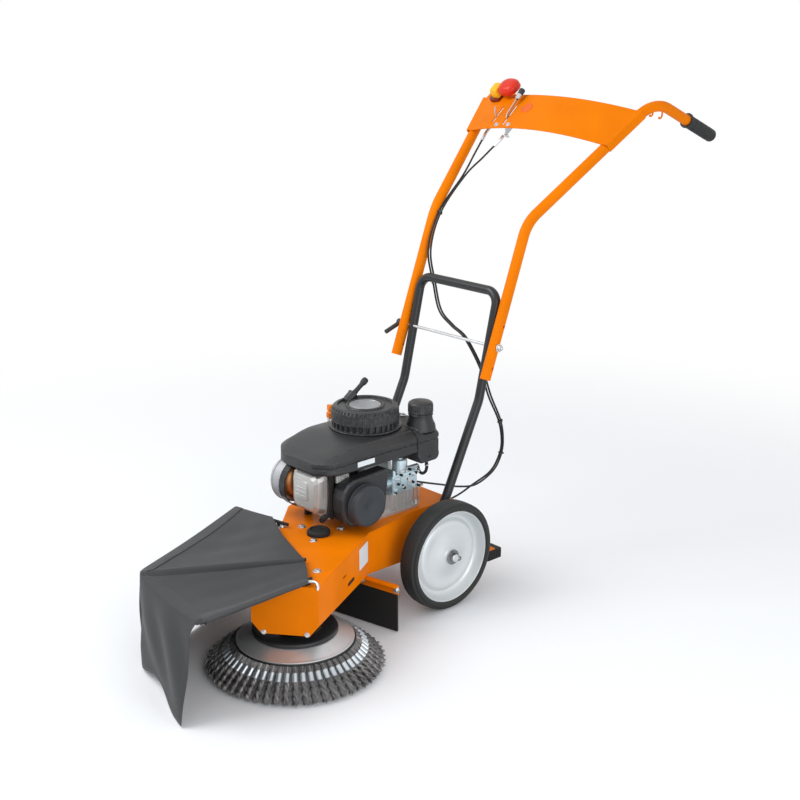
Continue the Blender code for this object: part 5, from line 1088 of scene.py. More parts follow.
def build_console():
    """The arched console sheet with rolled ends, its two slots, screws and the bare round plug."""
    where = console_frame()
    half_length = 0.0635
    loops = []
    levels = [-half_length, -half_length + 0.0008, *(half_length * k / 6 for k in range(-5, 6)),
        half_length - 0.0008, half_length]
    for row, v in enumerate(levels):
        thin = 0.0006 if row in (0, len(levels) - 1) else 0.0
        half = tube_spread(v) + ARCH_FOOT
        turn = [(half + SHEET - thin, -0.008), (half + SHEET - thin, 0.0105)]
        turn += [(half + SHEET - thin - 0.004 * (1 - math.cos(a)), 0.0105 + (0.0068 - thin) * math.sin(a))
            for a in (math.pi / 2 * k / 5 for k in range(1, 6))]
        inner_half = tube_spread(v) - 0.004
        arch = [inner_half * (1 - 2 * i / 60) for i in range(61)]
        upper = turn + [(x, console_height(x, v) + SHEET - thin) for x in arch]
        upper += [(-x, z) for x, z in reversed(turn)]
        lower = [(half + thin, -0.008), (half + thin, 0.012), (half - 0.002 + thin, 0.0143 + thin)]
        under = lower + [(x, console_height(x, v) + thin) for x in arch]
        under += [(-x, z) for x, z in reversed(lower)]
        loops.append([where @ Vector((x, v, z)) for x, z in upper + list(reversed(under))])
    sheet_piece = make_piece("console_sheet", skin(bmesh.new(), loops), "orange_paint", "handlebar",
        ["console_panel"], sharp=30)
    slots = bmesh.new()
    for x, low, high in ((-0.108, -0.054, 0.034), (-0.158, -0.042, 0.018)):
        plate(slots, round_corners(x - 0.0035, x + 0.0035, low, high, 0.0032, 5), -0.01, 0.07, where)
    bored(sheet_piece, slots)

    x, v = -0.062, 0.013
    seat = console_height(x, v) + SHEET
    tilt = Matrix.Rotation(math.atan(2 * ARCH_RISE * x / 0.24 ** 2), 4, "Y")
    plug = where @ Matrix.Translation((x, v, seat)) @ tilt
    profile = mm((0, -2), (17.5, -2), (17.5, 0.6), (17, 1.1), (15, 1.3), (14.6, 0.9), (0, 0.9))
    make_piece("console_round_plug", lathe(bmesh.new(), profile, 40, plug), "orange_plug", "handlebar")

    screws = bmesh.new()
    rod = where @ Vector((-0.158, -0.02, 0.03))
    sweep(screws, [rod, rod + where.to_3x3() @ Vector((0.001, 0.004, 0.018)), rod
        + where.to_3x3() @ Vector((0.004, 0.012, 0.03))], 0.0024, 12)
    for x in (-0.131, -0.085):
        hex_bolt(screws, where @ Matrix.Translation((x, -0.052, console_height(x, -0.052) + SHEET)), 0.008,
            0.003)
    make_piece("console_screws", screws, "zinc_steel", "handlebar")


def build_stop_switch():
    """The yellow switch housing on its dark-red seat, the red paddle and the throttle lever's knob."""
    where = console_frame()
    foot = console_height(-0.213, 0.052) + 0.0034
    seat = bmesh.new()
    plate(seat, round_corners(-0.23, -0.1935, 0.0265 + BEHIND, 0.0705 + BEHIND, 0.006, 4), foot - 0.0005,
        foot + 0.01, where)
    make_piece("stop_switch_seat", seat, "dark_red_plastic", "handlebar")
    rows = ((foot + 0.0102, 0.0), (0.04, 0.0), (0.0404, 0.0008), (0.0414, 0.0008), (0.0418, 0.0),
        (0.058, 0.0004), (0.0615, 0.0018), (0.063, 0.0046))
    loops = []
    for w, inset in rows:
        outline = round_corners(-0.2225 + inset, -0.194 - inset, 0.034 + BEHIND + inset,
            0.07 + BEHIND - inset, 0.0055, 5)
        loops.append([where @ Vector((x, v, w)) for x, v in outline])
    make_piece("stop_switch_housing", skin(bmesh.new(), loops), "yellow_plastic", "handlebar",
        ["stop_switch_box"], sharp=35)
    hinge = where @ Matrix.Translation((-0.213 + 0.0198, 0.052 + 0.007 + BEHIND, 0.053))
    loops = []
    for w, inset in mm((-4, 1.5), (-3, 0), (7, 0), (12, 1.2), (16, 4.2), (19, 9), (20.3, 15), (20.6, 20)):
        ring = []
        for a in full_turn(48):
            x = math.copysign(abs(math.cos(a)) ** 0.8, math.cos(a)) * (0.0305 - inset)
            v = math.copysign(abs(math.sin(a)) ** 0.8, math.sin(a)) * (0.027 - inset)
            ring.append(hinge @ Vector((0.0312 + x, v - 0.001, w)))
        loops.append(ring)
    make_piece("stop_paddle", skin(bmesh.new(), loops), "red_plastic", "stop_lever", ["stop_lever"],
        sharp=40)
    turn = Matrix(((0, 0, -1), (1, 0, 0), (0, 1, 0))).to_4x4()
    hinge_place = (-0.026, 0.012)
    blade = where @ Matrix.Translation((-0.108 + 0.0012, *hinge_place)) @ turn
    aim = aimed(blade.to_3x3() @ Vector((1, 0.14, 0)), blade @ Vector((0.058, 0.0407, 0.0012)))
    knob = mm((0, -1), (3.6, -1), (3.6, 14), (7, 14.6), (7.8, 16.2), (8, 24), (8.6, 30), (7.4, 33.2),
        (4.6, 34.6), (0, 35))
    make_piece("throttle_knob", lathe(bmesh.new(), knob, 28, aim), "black_plastic", "throttle_lever")
    plate_x = -0.1065
    under = console_height(plate_x, -0.04) - 0.0006 - hinge_place[1]
    bracket = bmesh.new()
    web = where @ Matrix.Translation((plate_x + 0.0025, *hinge_place)) @ turn
    plate(bracket, [(-0.036, -0.005), (0.012, -0.007), (0.018, 0.0), (0.02, under), (-0.014, under),
        (-0.036, 0.002)], 0.0, 0.0025, web)
    ear = where @ Matrix.Translation((plate_x + 0.012, *hinge_place)) @ turn
    plate(bracket, mm((-38.5, -8.5), (-36, -8.5), (-36, 2), (-38.5, 2)), 0.0, 0.0125, ear)
    make_piece("cable_bracket", bracket, "zinc_steel", "handlebar", ["lever_bracket"], sharp=35)


# ---- cables


def cable_routes():
    """The throttle and clutch cables from the console down to the engine and into the arm."""
    where = console_frame()
    start = where @ Vector((-0.116, -0.0745, 0.006)) - ORIGIN
    second = where @ Vector((-0.186, -0.056, 0.006)) - ORIGIN
    pivot = HANDLE_PIVOT - ORIGIN
    drop = [pivot + Vector(p) for p in mm((-178, 221.5, 379), (-152, 106.5, 295), (-145, 61.5, 199),
        (-125, 61.5, 111), (-90, 50.5, 43), (-20, 28.5, 17))]
    meet = Vector((0.05, pivot.y + 0.0082, pivot.z))
    tail = [Vector(p) for p in mm((90, 239, 556), (100, 262, 478), (104, 300, 400), (104, 312, 335),
        (100, 300, 289), (94, 276, 258), (86, 226, 236))]
    to_engine = [Vector(p) for p in mm((85, 172, 242), (90, 98, 268), (104, 30, 294), (110, -17.5, 312))]
    to_belt = [Vector(p) for p in mm((78, 170, 214), (70, 105, 205), (52, 20, 209), (10, -60, 217),
        (-30, -140, 224), (-44.5, -186.5, 226))]
    apart = 0.007
    beside = []
    for i, here in enumerate(drop):
        heading = (drop + [meet])[i + 1] - drop[max(i - 1, 0)]
        beside.append(here + Vector((-heading.y, heading.x, 0)).normalized() * apart)
    shifts = [(0.0004, apart, 0), (0.78 * apart, 0.64 * apart, 0), (0.98 * apart, 0.2 * apart, 0),
        (0.0057, 0, 0), (apart, 0, 0), (apart, 0, 0), (apart, 0, 0)]
    tail_beside = [p + Vector(shift) for p, shift in zip(tail, shifts)]
    throttle = [start, start.lerp(beside[0], 0.5), *beside, meet + Vector((0.0004, apart, 0)), *tail_beside,
        *to_engine]
    clutch = [second, second.lerp(drop[0], 0.5), *drop, meet, *tail, *to_belt]
    return throttle, clutch


def build_cables():
    """Two sheathed cables, whole from end to end, with their end sleeves and cable ties."""
    routes = dict(zip(("throttle", "clutch"), cable_routes()))
    ties = {"handlebar": bmesh.new(), "frame": bmesh.new()}
    for name, route in routes.items():
        line = [ORIGIN + p for p in curve_through(route, 8)]
        cable = make_piece(f"{name}_cable", sweep(bmesh.new(), line, CABLE_RADIUS, 14), "cable_sheath",
            None, [f"{name}_cable_upper", f"{name}_cable_lower"])
        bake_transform(cable)
        upper = bmesh.new()
        above = console_frame().to_3x3() @ Vector((0, {"throttle": 0.012, "clutch": 0.03}[name], 0))
        sweep(upper, [line[0] + above, line[0] + above * 0.5, *line[:4]], 0.0042, 14)
        make_piece(f"{name}_cable_sleeve", upper, "zinc_steel", "handlebar")
    first, second = ([ORIGIN + p for p in curve_through(route, 8)] for route in routes.values())
    for index, body in ((24, "handlebar"), (40, "handlebar"), (88, "frame"), (100, "frame")):
        here = (first[index] + second[index]) / 2
        across = first[index] - second[index]
        heading = (first[index + 1] - first[index - 1]).normalized()
        cable_tie(ties[body], aimed(heading, here, across), 0.0062)
    for body, bm in ties.items():
        make_piece(f"cable_ties_{body}", bm, "black_plastic", body)


# ---- engine

CARBURETTOR_SCREWS = mm((-92, 311), (-34, 311), (-92, 341), (-34, 341))


def cowl_outline(near, far, top, low, crease):
    """A cross-section of the moulding: rolled lower lip, groove, shoulder and flat top, on both sides."""
    groove = crease - 0.013
    soft = top - crease
    wide = min(1.0, (near - far) / 0.235)
    side = [*stepped(0, low, (9, 0), (3.4, 0.4), (0.6, 2.6), (0, 7), (1.4, 11)),
        *stepped(0, groove, (1.6, -3), (4, -1.6), (4, 0.8), (1.2, 2.4)), (0.0008, crease - 0.003),
        (0.002, crease), (0.0034 * wide + 0.001, crease + soft * 0.1), (0.019 * wide, crease + soft * 0.64),
        (0.0204 * wide, crease + soft * 0.66), (0.0212 * wide, crease + soft * 0.77),
        (0.0228 * wide, crease + soft * 0.81), (0.036 * wide, crease + soft * 0.9),
        (0.052 * wide, top - soft * 0.03), (0.068 * wide, top)]
    return [(near - x, z) for x, z in side] + [(far + x, z) for x, z in reversed(side)]


def build_cowl_and_tank():
    """The blower housing that falls to its rounded front, and the fuel tank with its neck behind it."""
    length = 0.292
    rows = [Vector(row) for row in ((0.0, 0.056, 0.075, 0.037), (0.01, 0.04, 0.062, 0.031),
        (0.028, 0.027, 0.05, 0.0275), (0.055, 0.016, 0.04, 0.0235), (0.12, 0.006, 0.018, 0.0165),
        (0.25, 0.001, 0.004, 0.0075), (0.42, 0.0, 0.0, 0.0008), (0.7, 0.0, 0.0, 0.0), (1.0, 0.0, 0.0, 0.0))]
    loops = []
    for share, near_in, far_in, fall in curve_through(rows, 6):
        y = -0.322 + length * share
        outline = cowl_outline(0.142 - max(0.0, near_in), -0.097 + max(0.0, far_in), 0.457 - max(0.0, fall),
            0.398, 0.436 - max(0.0, fall) * 0.3)
        tilt = 0.16 * max(0.0, 1 - share / 0.42)
        leaned = [(x, z - tilt * (z - 0.398) * (0.142 - x) / 0.239) for x, z in outline]
        loops.append([on_machine(x, y, z) for x, z in leaned])
    make_piece("blower_housing", skin(bmesh.new(), loops), "black_plastic", "frame", ["engine_cowl"],
        sharp=24)

    rows = [Vector(row) for row in ((0.0, 0.0, 0.0, 0.386), (0.1, 0.0, 0.0, 0.37), (0.2, 0.0, 0.0, 0.366),
        (0.62, 0.0, 0.0, 0.366), (0.78, 0.002, 0.001, 0.366), (0.9, 0.006, 0.005, 0.371),
        (0.96, 0.011, 0.01, 0.376), (1.0, 0.019, 0.017, 0.386))]
    loops = []
    for share, narrow, fall, low in curve_through(rows, 5):
        y = -0.0294 + 0.0834 * share
        narrow, fall = max(0.0, narrow), max(0.0, fall)
        outline = cowl_outline(0.144 - narrow, -0.067 + narrow, 0.457 - fall, low, 0.436 - fall * 0.4)
        loops.append([on_machine(x, y, z) for x, z in outline])
    bm = skin(bmesh.new(), loops)
    up = Matrix.Translation(on_machine(0.104, 0.014, 0))
    neck = mm((0, 444), (39, 444), (37.2, 456), (34.2, 462), (31.8, 468), (30.4, 474), (29.8, 479),
        (29.8, 481), (31.6, 481.8), (31.6, 485), (29.8, 485.8), (29.8, 487.6), (0, 487.6))
    lathe(bm, neck, 64, up)
    for x, y in mm((118, -6), (126, 6), (130, 20), (126, 34)):
        slab(bm, (x - 0.0012, x + 0.0012, y - 0.0012, y + 0.0012, 0.0008, 2), 0.45, 0.47)
    spout = on_machine(0.12, 0.02, 0.372)
    sweep(bm, [spout, spout + Vector((0, 0, -0.016))], 0.0048, 16)
    sweep(bm, [spout + Vector((0, 0, -0.002)), spout + Vector((0, 0, -0.007))], 0.0075, 16)
    make_piece("fuel_tank_shell", bm, "black_plastic", "frame", ["fuel_tank"], sharp=32)

    cap = bmesh.new()
    profile = [(0, 0.488, 0), (0.03, 0.488, 0), (0.0318, 0.4888, 0), (0.032, 0.4906, 0),
        (0.0312, 0.4912, 0), (0.032, 0.492, 1), (0.032, 0.508, 1), (0.0314, 0.5096, 1), (0.0312, 0.51, 0),
        (0.03, 0.5128, 0), (0.026, 0.5156, 0), (0.018, 0.5172, 0), (0.008, 0.5179, 0), (0, 0.518, 0)]
    lathe(cap, [(r, z, 0.0012 * rib, 3) for r, z, rib in profile], 192, up)
    make_piece("filler_cap", cap, "black_plastic", "fuel_cap", ["fuel_cap"], sharp=35)


def build_recoil():
    """The starter housing: slotted foot, finely ribbed wall, notched rim, rope guide and a blank disc."""
    up = Matrix.Translation(CRANK_AXIS)
    low, top, r = 0.4573, 0.513, 0.0855
    window, rib, notch = 6, 2, 4
    rows = [(0, low), (r + 0.005, low), (r + 0.006, low + 0.001), (r + 0.006, low + 0.003),
        (r + 0.004, low + 0.0042), (r - 0.001, low + 0.005), (r - 0.001, low + 0.0056, 0.006, window),
        (r - 0.001, low + 0.018, 0.006, window), (r - 0.001, low + 0.0186), (r, low + 0.02),
        (r, low + 0.0206, 0.0009, rib), (r - 0.0004, top - 0.012, 0.0009, rib), (r - 0.0004, top - 0.0114),
        (r - 0.0008, top - 0.0096), (r - 0.001, top - 0.0092, 0.0032, notch),
        (r - 0.004, top - 0.0036, 0.0032, notch), (r - 0.0046, top - 0.0032), (r - 0.0075, top - 0.001),
        (r - 0.01, top), (r - 0.015, top), (r - 0.0165, top - 0.0012), (r - 0.0172, top - 0.0046),
        (0.057, top - 0.0056), (0.05, top - 0.005), (0.0478, top - 0.0012), (0.0468, top - 0.0002),
        (0.0442, top - 0.0002), (0.043, top - 0.0012), (0.0425, top - 0.0034), (0, top - 0.0034)]
    bm = lathe(bmesh.new(), rows, 384, up)
    slope = 0.62
    pull = Vector((0, math.cos(slope), math.sin(slope)))
    leave = CRANK_AXIS + Vector((-0.066, 0.018, top + 0.007))
    guide = aimed(pull, leave)
    lathe(bm, mm((0, -30), (13.5, -30), (13.5, -6), (14.8, -2), (14.2, 0), (8.5, 0), (6, -3), (0, -3)), 36,
        guide)
    make_piece("starter_housing", bm, "black_plastic", "frame", ["recoil_housing"], sharp=32)
    disc = stepped(0, top, (0, -3.4), (40.5, -3.4), (40.5, -2.2), (39.5, -1), (38, -0.8), (36.8, -2), (0, -2))
    make_piece("starter_blank_disc", lathe(bmesh.new(), disc, 64, up), "bare_plate", "frame")
    grip = mm((0, 0.3), (7.5, 0.3), (8, 1.6), (7, 6), (6.2, 12), (6, 30), (6.8, 35), (8.4, 39.5), (8.8, 44),
        (8.4, 50), (6.6, 53.2), (3, 54), (0, 54))
    make_piece("starter_pull_grip", lathe(bmesh.new(), grip, 32, guide), "grip_rubber", "starter_handle",
        ["starter_handle"], slot="black_plastic")
    bolts = bmesh.new()
    for x, y, z in mm((-75.9, -121.8, 451.6), (27.6, 24.8, 457.1), (-56, -48, 457.1)):
        seat = on_machine(x, y, z)
        lathe(bolts, mm((0, -0.5), (8.5, -0.5), (8.5, 2.4), (7.8, 3), (0, 3)), 24, Matrix.Translation(seat))
        hex_bolt(bolts, Matrix.Translation(seat + Vector((0, 0, 0.0028))), 0.008, 0.0036, False)
    make_piece("starter_housing_bolts", bolts, "zinc_steel", "frame")


def build_muffler():
    """The round muffler with its rolled seams and the heat-tinted pipe behind its guard."""
    where = facing_left(-0.073, -0.262, 0.333)
    r, half = 0.058, 0.027
    shell = curve_through([(0.0, -half), (r * 0.45, -half + 0.0006), (r * 0.68, -half + 0.0022),
        (r * 0.86, -half + 0.0066), (r * 0.955, -half + 0.013), (r * 0.985, -half + 0.018)], 5)
    profile = [tuple(p) for p in shell]
    profile += [*stepped(r, -half, (0.8, 19), (1.2, 20.4), (0.8, 21.8), (-1, 22.6)),
        *stepped(r, half, (-1, -6), (-3, -2), (-7, 0)), (0, half)]
    bm = lathe(bmesh.new(), profile, 96, where)
    line = [where @ Vector(p) for p in ((-0.004, 0.02, half - 0.004), (-0.004, 0.02, half + 0.025))]
    sweep(bm, line, 0.013, 24)
    make_piece("round_muffler", bm, "silencer_steel", "frame", ["muffler"], sharp=32)
    cone = stepped(0, half, (47, 0.4), (49, 0.4), (44, 8), (36, 14), (30, 16), (28, 16), (28, 14),
        (34.5, 12), (42.5, 6.5))
    make_piece("heat_tinted_ring", lathe(bmesh.new(), cone, 64, where), "copper_cone", "frame")


def build_intake():
    """The filter's round cover with its rim, and the fuel hose with its clips."""
    where = facing_left(0, -0.214, 0.312)
    back, face, r = 0.1483, 0.174, 0.052
    cover = [(0, back), *stepped(r, back, (-0.5, 0), (1, 0.8), (1.2, 4.6), (0, 5.6)),
        *stepped(r, face, (-0.2, -7.5), (-1.4, -4), (-4.2, -1.4), (-7.8, -0.2), (-11, 0)),
        *stepped(0, face, (14, 0), (13, -0.6), (0, -0.6))]
    make_piece("filter_round_cover", lathe(bmesh.new(), cover, 96, where), "filter_plastic", "frame",
        ["air_filter_cover"], sharp=35)
    spout = Vector((0.12, 0.02, 0.3551))
    end = Vector((0.116, -0.0128, 0.3535))
    route = [spout, spout + Vector((0, 0.0015, -0.012)), spout + Vector((0, -0.003, -0.023)),
        spout + Vector((-0.001, -0.013, -0.026)), spout + Vector((-0.003, -0.022, -0.018)),
        end + Vector((0, 0.006, -0.0006)), end]
    line = [ORIGIN + p for p in curve_through(route, 6)]
    bm = sweep(bmesh.new(), line, HOSE_RADIUS, 16)
    hose = make_piece("fuel_hose_loop", bm, "black_rubber", "frame", ["fuel_hose"])
    clips = bmesh.new()
    for at in (3, len(line) - 4):
        ring = aimed(line[at + 1] - line[at - 1], line[at])
        lathe(clips, mm((4.1, -1.6), (5.2, -1.6), (5.4, 0), (5.2, 1.6), (4.1, 1.6)), 20, ring)
    make_piece("fuel_hose_clips", clips, "zinc_steel", "frame")


def build_engine_fittings():
    """Small castings and fixings: valve cover flanges, crankcase ribs, carburettor screws and linkage, with
    black discs as painted shade for the carburettor's holes.
    """
    alloy = bmesh.new()
    for low, high in ((0.3868, 0.3925), (0.2755, 0.2805)):
        slab(alloy, (-0.03, 0.097, -0.2835, -0.277, 0.002, 3), low, high)
    face = -0.3112
    for z in (0.326, 0.336, 0.346):
        sweep(alloy, [on_machine(0.006, face, z), on_machine(0.044, face, z)], 0.0011, 8)
    for x in (-0.012, 0.08):
        sweep(alloy, [on_machine(x, -0.299, 0.3), on_machine(x, -0.299, 0.372)], 0.0016, 8)
    for i in range(8):
        y = -0.086 + i * 0.0125
        slab(alloy, (0.104, 0.1098, y, y + 0.0036, 0.0012, 2), 0.25, 0.292)
    slab(alloy, (0.104, 0.112, -0.092, 0.018, 0.002, 3), 0.292, 0.2962)
    for i in range(6):
        y = -0.268 + i * 0.0062
        slab(alloy, (0.106, 0.117, y, y + 0.0036, 0.001, 2), 0.372, 0.385)
    slab(alloy, (0.106, 0.1145, -0.27, -0.231, 0.002, 3), 0.37, 0.387)
    make_piece("alloy_ribs_and_flanges", alloy, "cast_alloy", "frame", sharp=35)

    zinc = bmesh.new()
    for y, z in CARBURETTOR_SCREWS:
        lathe(zinc, mm((0, 0), (5.8, 0), (5.8, 3), (5.2, 3.6), (0, 3.6)), 20, facing_left(0.1298, y, z))
    lathe(zinc, mm((0, 0), (10, 0), (10, 2), (8, 3.2), (0, 3.2)), 28,
        aimed((0, 0, 1), on_machine(0.108, -0.062, 0.3838)))
    sweep(zinc, [on_machine(0.096, -0.03, 0.349), on_machine(0.096, -0.03, 0.366)], 0.005, 16)
    sweep(zinc, [on_machine(0.124, -0.094, 0.349), on_machine(0.124, -0.094, 0.362)], 0.0042, 16)
    slab(zinc, (0.09, 0.129, -0.101, -0.0985, 0.0012, 2), 0.35, 0.364)
    make_piece("carburettor_bosses", zinc, "zinc_casting", "frame", sharp=35)

    steel = bmesh.new()
    for y, z in CARBURETTOR_SCREWS:
        hex_bolt(steel, facing_left(0.1333, y, z), 0.0062, 0.0024, False)
    for x in (-0.024, 0.09):
        for z in (0.3897, 0.278):
            hex_bolt(steel, aimed((0, -1, 0), on_machine(x, -0.2834, z)), 0.0066, 0.003, False)
    sweep(steel, [on_machine(*p) for p in mm((134.5, -94, 360), (136.5, -60, 366), (135, -30, 360),
        (133, -14, 348))], 0.0011, 8)
    sweep(steel, [on_machine(*p) for p in ((0.124, -0.094, 0.361), (0.136, -0.094, 0.361))], 0.0016, 8)
    spring = [on_machine(0.1345 + 0.0022 * math.cos(t), -0.09 + 0.0016 * t, 0.356 + 0.0022 * math.sin(t))
        for t in (0.35 * k for k in range(64))]
    sweep(steel, spring, 0.0005, 6)
    plate(steel, round_corners(-0.006, 0.006, -0.01, 0.01, 0.003, 3), 0.0, 0.0016,
        facing_left(0.135, -0.052, 0.329))
    hex_bolt(steel, facing_left(0.1366, -0.052, 0.329), 0.006, 0.0026, False)
    for i in range(7):
        y, z = -0.099 + 0.013 * i, 0.302 + 0.062 * (i * 0.618 % 1)
        lathe(steel, mm((0, -4), (3, -4), (3, 4), (1.8, 4.8), (1.8, 6.6), (0, 6.6)), 14,
            facing_left(0.131, y, z))
    make_piece("linkage_and_screws", steel, "zinc_steel", "frame", sharp=35)

    dark = bmesh.new()
    # Thin black discs flush on the carburettor's face: painted shade standing in for its holes
    for y, z, r in mm((-74, 320.5, 4), (-46, 342.5, 3.4), (-62, 311.5, 3)):
        lathe(dark, [(0, -0.001), (r, -0.001), (r, 0.0004), (0, 0.0004)], 20,
            facing_left(0.1345 if z > 0.316 and z < 0.342 else 0.13, y, z))
    for i in range(9):
        y, z = -0.096 + 0.0098 * i, 0.304 + 0.058 * (i * 0.382 % 1)
        lathe(dark, mm((0, -4), (3.4, -4), (3.4, 4.5), (2.6, 5.2), (0, 5.2)), 14, facing_left(0.1305, y, z))
    tap = on_machine(0.126, 0.002, 0.382)
    sweep(dark, [tap, tap + Vector((0.015, 0, -0.002))], 0.0075, 20)
    sweep(dark, [tap + Vector((0.012, -0.012, -0.003)), tap + Vector((0.015, 0.012, -0.001))], 0.0032, 10)
    plug = on_machine(0.086, -0.29, 0.276)
    lathe(dark, mm((0, -10), (7, -10), (7.8, 4), (6.2, 10), (0, 11)), 20, aimed((0.35, -0.9, -0.25), plug))
    lead = curve_through([on_machine(*p) for p in mm((88, -296, 274), (101, -301, 278), (108.5, -296, 296),
        (108, -289, 330), (106, -285, 370), (104, -280, 399))], 7)
    sweep(dark, lead, 0.0032, 12)
    make_piece("fuel_tap_lead_and_painted_holes", dark, "black_rubber", "frame", sharp=40)


# ---- fittings


def build_fittings():
    """Bolts, plates, the hood's hook and bracket, blank labels, a black sheet as painted shade in the arm's
    slot, the step's pad and the clamp rod's nut.
    """
    bolts = bmesh.new()
    for x, y in ((0.023, -0.3072), (0.1091, -0.3409), (0.2537, -0.4462), (0.0972, -0.2445)):
        hex_bolt(bolts, Matrix.Translation(on_machine(x, y, DECK_TOP)), 0.012, 0.0042)
    for left, z in ((-0.05, 0.1238), (0.05, 0.1238)):
        seat = on_arm(ARM_REACH, left, z)
        hex_bolt(bolts, aimed(ARM_FORWARD, seat), 0.0072, 0.0034)
    strip = math.radians(12)
    facing = Vector((math.sin(strip), -math.cos(strip), 0))
    run = outward_at(strip)
    outer = on_machine(0.25, -0.198, 0)
    for back in (-0.004, 0.1):
        seat = outer - run * back + facing * 0.0085 + Vector((0, 0, 0.1195))
        hex_bolt(bolts, aimed(facing, seat - facing * 0.0001), 0.011, 0.0042)
    for side in (-1, 1):
        wall = on_machine(side * 0.129, 0, 0)
        for y, z in ((-0.04, AXLE_HEIGHT), (0.04, AXLE_HEIGHT)):
            hex_bolt(bolts, aimed((side, 0, 0), wall + Vector((0, y, z))), 0.012, 0.0042)
    make_piece("frame_bolts", bolts, "zinc_steel", "frame", sharp=35)

    brackets = bmesh.new()
    for side in (-1, 1):
        wall = aimed((side, 0, 0), on_machine(side * 0.1291, 0, AXLE_HEIGHT))
        plate(brackets, round_corners(-0.052, 0.052, -0.022, 0.022, 0.01, 5), 0.0, 0.004, wall)
    make_piece("axle_plates", brackets, "black_steel", "frame", sharp=35)

    hook = bmesh.new()
    start = on_machine(0.298, -0.5206, 0.2494)
    arc = [start, start + Vector((0.004, 0.01, 0.0015)), start + Vector((0.013, 0.018, 0.002)),
        start + Vector((0.023, 0.02, 0.0005)), start + Vector((0.03, 0.017, -0.0045)),
        start + Vector((0.0318, 0.014, -0.011))]
    sweep(hook, curve_through(arc, 6), 0.0034, 16)
    bent = on_machine(-0.02, -0.344, DECK_TOP)
    plate(hook, round_corners(-0.02, 0.02, -0.007, 0.007, 0.004, 4), 0.0, 0.0022, Matrix.Translation(bent))
    hex_bolt(hook, Matrix.Translation(bent + Vector((-0.01, 0, 0.0022))), 0.0085, 0.0034)
    hex_bolt(hook, Matrix.Translation(bent + Vector((0.011, 0, 0.0022))), 0.0085, 0.0034)
    make_piece("hood_hook_and_bracket", hook, "zinc_steel", "frame", sharp=35)

    labels = bmesh.new()
    plate(labels, round_corners(-0.027, 0.027, -0.0072, 0.0072, 0.001, 2), 0.0, 0.0006,
        facing_left(0.1408, -0.199, 0.4122))
    run = Vector((0.4992, -0.8665, 0))
    facing = Vector((0.8665, 0.4992, 0))
    shoulder = on_machine(0.158, -0.209, 0)
    plate(labels, round_corners(-0.0305, 0.0305, -0.027, 0.027, 0.002, 3), 0.0001, 0.0008,
        aimed(facing, shoulder + run * 0.036 + Vector((0, 0, 0.193))))
    make_piece("blank_labels", labels, "blank_label", "frame")
    # A thin black sheet on the arm's face: painted shade standing in for a slot
    slot = bmesh.new()
    plate(slot, round_corners(-0.0215, 0.0215, -0.0042, 0.0042, 0.004, 5), 0.0001, 0.0009,
        aimed(facing, shoulder + run * 0.1262 + Vector((0, 0, 0.1645))))
    make_piece("arm_slot_painted_shade", slot, "black_rubber", "frame")

    hooks = bmesh.new()
    for points in (((0.66, 1.212), (0.6605, 1.2), (0.6585, 1.193), (0.653, 1.19), (0.648, 1.192)),
            ((0.698, 1.208), (0.7, 1.196), (0.698, 1.186), (0.692, 1.182), (0.6865, 1.184))):
        line = [on_machine(0.2825, y, z) for y, z in points]
        sweep(hooks, curve_through(line, 5), 0.0032, 14, 0.7)
    make_piece("hooks_under_tube", hooks, "orange_paint", "handlebar")

    block = bmesh.new()
    rows = mm((70, 3), (71.5, 0.6), (73.5, 0), (96.5, 0), (98, 1), (98.6, 3))
    loops = [[on_machine(x, y, z) for x, y in round_corners(0.1625 + cut, 0.2125 - cut, 0.156 + cut,
        0.2075 - cut, 0.004, 4)] for z, cut in rows]
    skin(block, loops)
    for i in range(5):
        y = 0.1605 + 0.0092 * i
        slab(block, (0.212, 0.214, y, y + 0.0048, 0.0008, 2), 0.0745, 0.0955)
    make_piece("step_pad_block", block, "black_rubber", "frame", ["foot_step_pad"], sharp=40)
    cover = bmesh.new()
    slab(cover, (0.165, 0.21, 0.158, 0.186, 0.003, 4), 0.0988, 0.1002)
    make_piece("step_pad_plate", cover, "orange_paint", "frame", sharp=40)

    nut = bmesh.new()
    seat = HANDLE_PIVOT + Vector((TUBE_X + 0.0146, 0, 0))
    nut_and_stud(nut, aimed((1, 0, 0), seat), 0.013, 0.005)
    make_piece("clamp_rod_nut", nut, "zinc_steel", "handlebar", sharp=35)


# ---- stage


def build_stage():
    """Pale floor, soft light and the camera at the viewing angle of the picture."""
    sizes = bpy.context.scene.weed_brush_stage
    bm = bmesh.new()
    bmesh.ops.create_grid(bm, x_segments=1, y_segments=1, size=sizes.floor_size / 2)
    mesh = bpy.data.meshes.new("floor")
    bm.to_mesh(mesh)
    bm.free()
    floor = bpy.data.objects.new("floor", mesh)
    floor.location.z = -FLOOR_DROP
    bpy.context.scene.collection.objects.link(floor)
    mesh.materials.append(floor_finish(sizes))
    light_the_stage(sizes)
    aim_camera(sizes)


